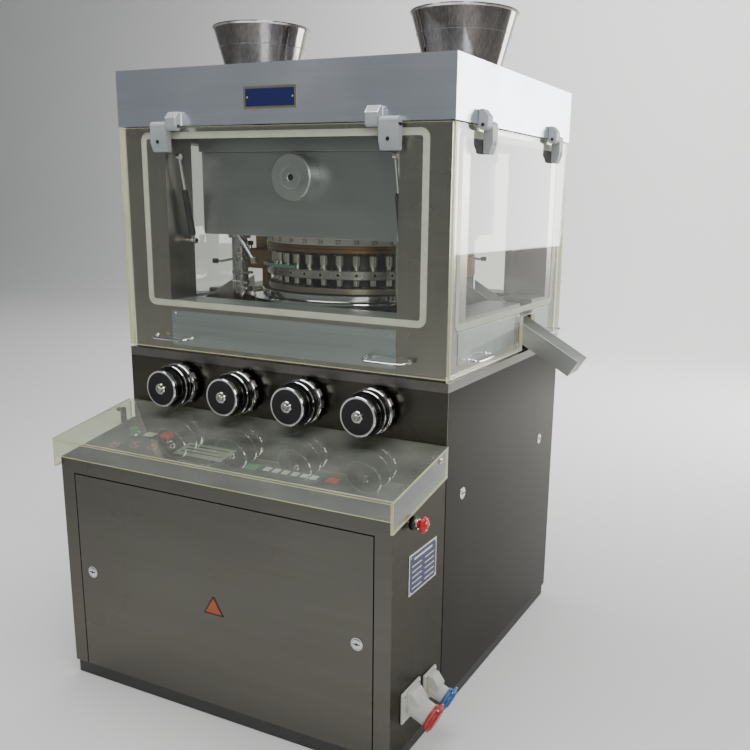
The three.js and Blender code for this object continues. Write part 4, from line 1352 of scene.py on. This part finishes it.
@dataclass
class Machine:
    """What stands still inside the cabin: head, pressure shaft, cam drum, tray, feeders, guard and chutes."""

    head_half: float = 289.0
    head_ends: Flat = (98.0, 708.0)
    head_bottom: float = 1150.0
    seam: float = 1357.0
    head_top: float = 1411.0
    shaft_place: Flat = (15.0, 1295.0)
    column_place: Flat = (252.0, 203.0)

    def build(self, frame: dict[str, Any]) -> None:
        """Makes the standing parts."""
        self.head()
        self.shaft()
        self.drum()
        self.feeder_fittings()
        self.guard()
        dress(frame, BRONZE, "feeder_left", "feeder_right", bevel=0.8)
        dress(frame, CHUTE, "chute_left", "chute_right", bevel=0.7)
        dress(frame, GROUND, "pressure_roller", bevel=0.8)

    def head(self) -> None:
        """The head box with its wider top flange and four polished columns."""
        form = Form()
        w, (y0, y1), low, seam, top = self.head_half, self.head_ends, self.head_bottom, self.seam, self.head_top
        t = 12.0
        bore = 75.0
        form.box((-w, y0, low), (w, y0 + t, seam - 0.6), 1.8)
        form.box((-w, y1 - t, low), (w, y1, seam - 0.6), 1.8)
        for x in (-w, w - t):
            form.box((x, y0 + 1, low), (x + t, y1 - 1, seam - 0.6), 1.8)
        for left, right in ((-w + 1, -bore), (bore, w - 1)):
            form.box((left, MIDDLE - bore, low), (right, MIDDLE + bore, low + t), 0.6)
        form.box((-w + 1, y0 + 1, low), (w - 1, MIDDLE - bore, low + t), 0.6)
        form.box((-w + 1, MIDDLE + bore, low), (w - 1, y1 - 1, low + t), 0.6)
        form.box((-w - 2.5, y0 - 9, seam), (w + 2.5, y0 + t, top), 1.8)
        form.box((-w - 2.5, y1 - t, seam), (w + 2.5, y1 + 9, top), 1.8)
        for x in (-w - 2.5, w - t):
            form.box((x, y0 - 8, seam), (x + t + 2.5, y1 + 8, top), 1.8)
        form.place = TO_MIDDLE
        form.lathe([(37, low - 1), (112, low - 1), (112, low + t + 1), (37, low + t + 1), (37, low - 1)], 64)
        for x in (-1, 1):
            for y in (-1, 1):
                cx, cy = x * self.column_place[0], y * self.column_place[1]
                form.place = Matrix.Translation((cx, MIDDLE + cy, 0))
                form.lathe(
                    [(0, 845.3), (34, 845.3), (34, 855), (32, 858), (24, 859.5), (22, 862), (22, low + 1)], 40, 1
                )
                form.lathe([(22, low - 13), (29, low - 13), (30, low - 12), (30, low)], 40, 1)
        form.place = Matrix.Identity(4)
        form.piece("head on its columns", "base", [HEAD, POLISHED], ["head_housing"])

    def shaft(self) -> None:
        """The pressure shaft's turned cap at the front, a blank one at the back, and the shaft itself."""
        x, z = self.shaft_place
        face = [(8, 24), (8, 41.2), (9, 42), (26, 42), (26.6, 41.7), (27.2, 42), (54.4, 42), (57, 39.6), (57, 0.4),
                (30.3, 0.4)]
        # Bands 0 and 1, the centre bore's floor and wall, take the dark finish on both caps: painted shade in the bore.
        form = Form(on_front(x, self.head_ends[0], z))
        form.lathe([(0, 24), *face, (30, -130), (0, -130)], 72, 0, {0: 1, 1: 1})
        form.piece("pressure shaft", "base", [TURNED, DARK_IRON_AND_PAINTED_SHADE], ["pressure_shaft"])
        rear = Form(HALF_TURN @ on_front(x, self.head_ends[0], z))
        rear.lathe([(0, 24), *face], 72, 0, {0: 1, 1: 1})
        rear.piece("rear pressure shaft cap", "base", [TURNED, DARK_IRON_AND_PAINTED_SHADE])

    def drum(self) -> None:
        """The lower cam drum with bright and dark lands, and the powder tray round it."""
        form = Form(TO_MIDDLE)
        form.lathe(
            [(38, 845.3), (275, 845.3), (276, 846.5), (276, 866), (272, 868), (256, 872), (256, 958), (261, 962),
             (262, 963), (262, 971), (258, 972.5), (258, 984), (262, 985.5), (263, 987), (263, 1002.6), (261.6, 1004),
             (38, 1004), (38, 845.3)],
            120, 0, {8: 1, 9: 1, 13: 1, 14: 1, 1: 1, 2: 1},
        )
        form.lathe(
            [(264, 985), (291, 981), (297, 985), (300, 985), (300, 976), (296, 974), (264, 979), (264, 985)], 120, 1,
        )
        form.piece("cam drum and tray", "base", [DARK_IRON_AND_PAINTED_SHADE, CHROME], ["cam_drum"])

    def feeder_fittings(self) -> None:
        """Clamps, levers and posts of both feeders, and the slanted tie rod under the head."""
        for side, place in (("left", HALF_TURN), ("right", Matrix.Identity(4))):
            form = Form(place)
            form.wire([(214, 660, 1150), (196, 654, 1118), (176, 648, 1082)], 5.0)
            form.rod((176, 648, 1074), (176, 648, 1090), 9, bevel=1, sides=24)
            for z, radius in ((998, 13), (1032, 11), (1074, 15), (1100, 10)):
                form.rod((215, 650, z), (215, 650, z + 14), radius, bevel=1.6, sides=28, slot=1)
            form.rod((215, 650, 975), (215, 650, 1118), 6.5, bevel=0.8, sides=24)
            form.wire([(215, 650, 1082), (232, 668, 1084), (256, 682, 1078), (268, 690, 1079)], 3.4)
            form.rod((262, 686, 1078.6), (276, 694, 1079), 6.4, bevel=1.6, sides=24, slot=2)
            form.box((186, 636, 1046), (236, 664, 1052), 1.2, 1)
            form.box((196, 640, 1018), (246, 652, 1026), 1.2)
            form.rod((240, 646, 1012), (240, 646, 1040), 5, bevel=0.7, sides=20)
            form.wire([(215, 650, 1007), (190, 668, 1006), (168, 676, 1010)], 3.2)
            form.rod((162, 678, 1010.4), (172, 675, 1010), 6.6, bevel=2.0, sides=24, slot=2)
            form.box((298, 388, 1101), (326, 418, 1106), 0.8, 1)
            for y in (310, 496):
                form.rod((300, y, 1100.2), (300, y, 1116), 7, 5.4, 1.2, 24)
                form.rod((300, y, 1112), (300, y, 1124), 10, 8.8, 1.6, 28, 2)
            form.piece(f"{side} feeder fittings", "base", [CHROME, GROUND, KNOB])

    def guard(self) -> None:
        """A curved clear guard strip in front of the punches on each side."""
        for side, place in (("front", TO_MIDDLE), ("rear", HALF_TURN @ TO_MIDDLE)):
            form = Form(place)
            form.lathe([(258, 1068), (262, 1068), (262, 1076), (258, 1076), (258, 1068)], 40, 0, arc=(222.0, 262.0))
            form.piece(f"{side} guard strip", "base", [GUARD])


@dataclass
class Hoppers:
    """The two polished feed hoppers standing through the roof."""

    place: float = 310.0

    def build(self) -> None:
        """Makes both hoppers and their roof clamps."""
        outline = [
            (12, 1474), (14, 1474), (14, 1480), (91, 1548.6), (91, 1551.4), (104, 1551.4), (104.6, 1552.4),
            (104, 1554), (92.4, 1555), (133.2, 1699), (136, 1701.2), (137.2, 1703.2), (136.6, 1705.4),
            (134.6, 1706), (132.8, 1705), (131.6, 1702), (88, 1552), (12, 1480), (12, 1474),
        ]
        for side, sign in (("left", -1), ("right", 1)):
            name = f"hopper_{side}"
            form = Form(Matrix.Translation((sign * self.place, MIDDLE, 0)))
            form.lathe(outline, 96)
            form.lathe([(119.4, 1650), (120.9, 1650.4), (121.5, 1652), (120.2, 1652.8)], 96)
            form.piece(f"feed hopper {side}", name, [HOPPER], [name])
            clamps = Form(Matrix.Translation((sign * self.place, MIDDLE, 0)))
            for turn in range(3):
                angle = math.radians(120 * turn + 30)
                x, y = 112 * math.cos(angle), 112 * math.sin(angle)
                clamps.rod((x, y, 1551.2), (x, y, 1566), 8.5, 7.5, 1.4, 28, 1)
                clamps.rod((x, y, 1566), (x, y, 1571), 4, bevel=0.6, sides=20)
            clamps.piece(f"hopper clamps {side}", "base", [CHROME, KNOB])


@dataclass
class Drive:
    """The worm drive, motor and belt inside the cabinet."""

    def build(self, frame: dict[str, Any]) -> None:
        """Dresses the drive."""
        dress(frame, CAST, "gear_housing", "motor_pulley", bevel=1.6)
        dress(frame, GROUND, "worm_shaft", bevel=0.8)
        dress(frame, MOTOR_PAINT, "motor", bevel=1.6)
        dress(frame, BELT, "v_belt", bevel=0.5)


@dataclass
class Studio:
    """A pale floor and backdrop, soft lights and the camera."""

    camera: Point = (1267.8, -1773.2, 1253.1)
    right: Point = (0.893098, 0.449492, 0.018222)
    down: Point = (0.120778, -0.200563, -0.972207)
    ahead: Point = (-0.433345, 0.870478, -0.233411)
    lens: float = 42.168  # focal length in mm
    shift: Flat = (-0.0498667, 0.0444)  # share of the frame's width
    sensor: float = 36.0

    def build(self) -> None:
        """Sets up the camera, the stage and the lights."""
        self.view()
        self.stage()
        self.light("overhead softbox", (0, -300, 3500), (0, 200, 900), (3.2, 2.6), 120)
        self.light("front fill", (3200, -3800, 2500), (200, 0, 700), (2.0, 1.6), 70)
        self.light("right window", (1900, 3550, 1780), (-2000, 3150, 1700), (2.4, 1.75), 130)
        self.light("backdrop wash", (0, 3500, 4500), (0, 7200, 1200), (6.0, 1.5), 260)
        self.world()

    def view(self) -> None:
        """Adds the camera."""
        data = bpy.data.cameras.new("camera")
        data.sensor_width = self.sensor
        data.lens = self.lens
        data.shift_x, data.shift_y = self.shift
        data.clip_end = 60
        camera = bpy.data.objects.new("camera", data)
        turn = Matrix.Identity(4)
        turn.col[0].xyz = self.right
        turn.col[1].xyz = -Vector(self.down)
        turn.col[2].xyz = -Vector(self.ahead)
        x, y, z = self.camera
        camera.matrix_world = Matrix.Translation((x / 1000, (y - BODY_CENTRE_Y) / 1000, z / 1000)) @ turn
        bpy.context.scene.collection.objects.link(camera)
        bpy.context.scene.camera = camera

    def stage(self) -> None:
        """A plain pale floor that curves up into a backdrop."""
        part = bmesh.new()
        radius = 1.5
        path = [(-12.0, 0.0), (7.0 - radius, 0.0)]
        path += [(7.0 - radius + radius * math.sin(a), radius - radius * math.cos(a)) for a in
                 (math.radians(step * 9) for step in range(1, 11))]
        path += [(7.0, 9.0)]
        line = [part.verts.new((-20.0, y, z - 0.0005)) for y, z in path]
        edges = [part.edges.new(pair) for pair in zip(line, line[1:])]
        grown = bmesh.ops.extrude_edge_only(part, edges=edges)
        moved = [g for g in grown["geom"] if isinstance(g, bmesh.types.BMVert)]
        bmesh.ops.translate(part, verts=moved, vec=(40, 0, 0))
        bmesh.ops.recalc_face_normals(part, faces=part.faces)
        mesh = bpy.data.meshes.new("floor and backdrop")
        part.to_mesh(mesh)
        part.free()
        mesh.shade_smooth()
        shader = Shader("pale studio paper")
        paper = shader.add("BsdfDiffuse", {"Color": linear("#f2f2f0")})
        mesh.materials.append(shader.close(paper.outputs[0]))
        floor = bpy.data.objects.new("floor and backdrop", mesh)
        bpy.context.scene.collection.objects.link(floor)
        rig.stage(floor)

    def light(self, name: str, place: Point, target: Point, size: Flat, power: float) -> None:
        """A soft rectangular lamp at a place, aimed at a target."""
        data = bpy.data.lights.new(name, "AREA")
        data.shape = "RECTANGLE"
        data.size, data.size_y = size
        data.energy = power
        lamp = bpy.data.objects.new(name, data)
        aim = Vector(target) - Vector(place)
        turn = aim.to_track_quat("-Z", "Y").to_matrix().to_4x4()
        lamp.matrix_world = Matrix.Translation(Vector(place) / 1000) @ turn
        bpy.context.scene.collection.objects.link(lamp)

    def world(self) -> None:
        """An even grey surround."""
        world = bpy.data.worlds.new("surround")
        world.use_nodes = True
        tree = world.node_tree
        tree.nodes.clear()
        back = tree.nodes.new("ShaderNodeBackground")
        back.inputs["Color"].default_value = linear("#c4c8cc")
        back.inputs["Strength"].default_value = 0.35
        end = tree.nodes.new("ShaderNodeOutputWorld")
        tree.links.new(back.outputs[0], end.inputs["Surface"])
        bpy.context.scene.world = world


def record_size(label: str, mode: str) -> None:
    low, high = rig.bounds()
    with open(SIZE_FILE, mode, encoding="utf-8") as out:
        out.write(f"{label} low {low[0]:.5f} {low[1]:.5f} {low[2]:.5f}\n")
        out.write(f"{label} high {high[0]:.5f} {high[1]:.5f} {high[2]:.5f}\n")


def main() -> None:
    """Builds the press round its frame."""
    logging.basicConfig(level=logging.INFO, format="%(message)s")
    for thing in list(bpy.data.objects):
        bpy.data.objects.remove(thing)
    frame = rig.load()
    record_size("frame", "w")
    Studio().build()
    Casing().build(frame)
    QuarterTurnLocks().build()
    Console().build(frame)
    EmergencyStop().build()
    PowerInlets().build()
    Adjusters().build()
    Cabin().build(frame)
    Doors().build()
    Roof().build(frame)
    Turret().build(frame)
    Machine().build(frame)
    Hoppers().build()
    Drive().build(frame)
    record_size("finished", "a")


if __name__ == "__main__":
    main()
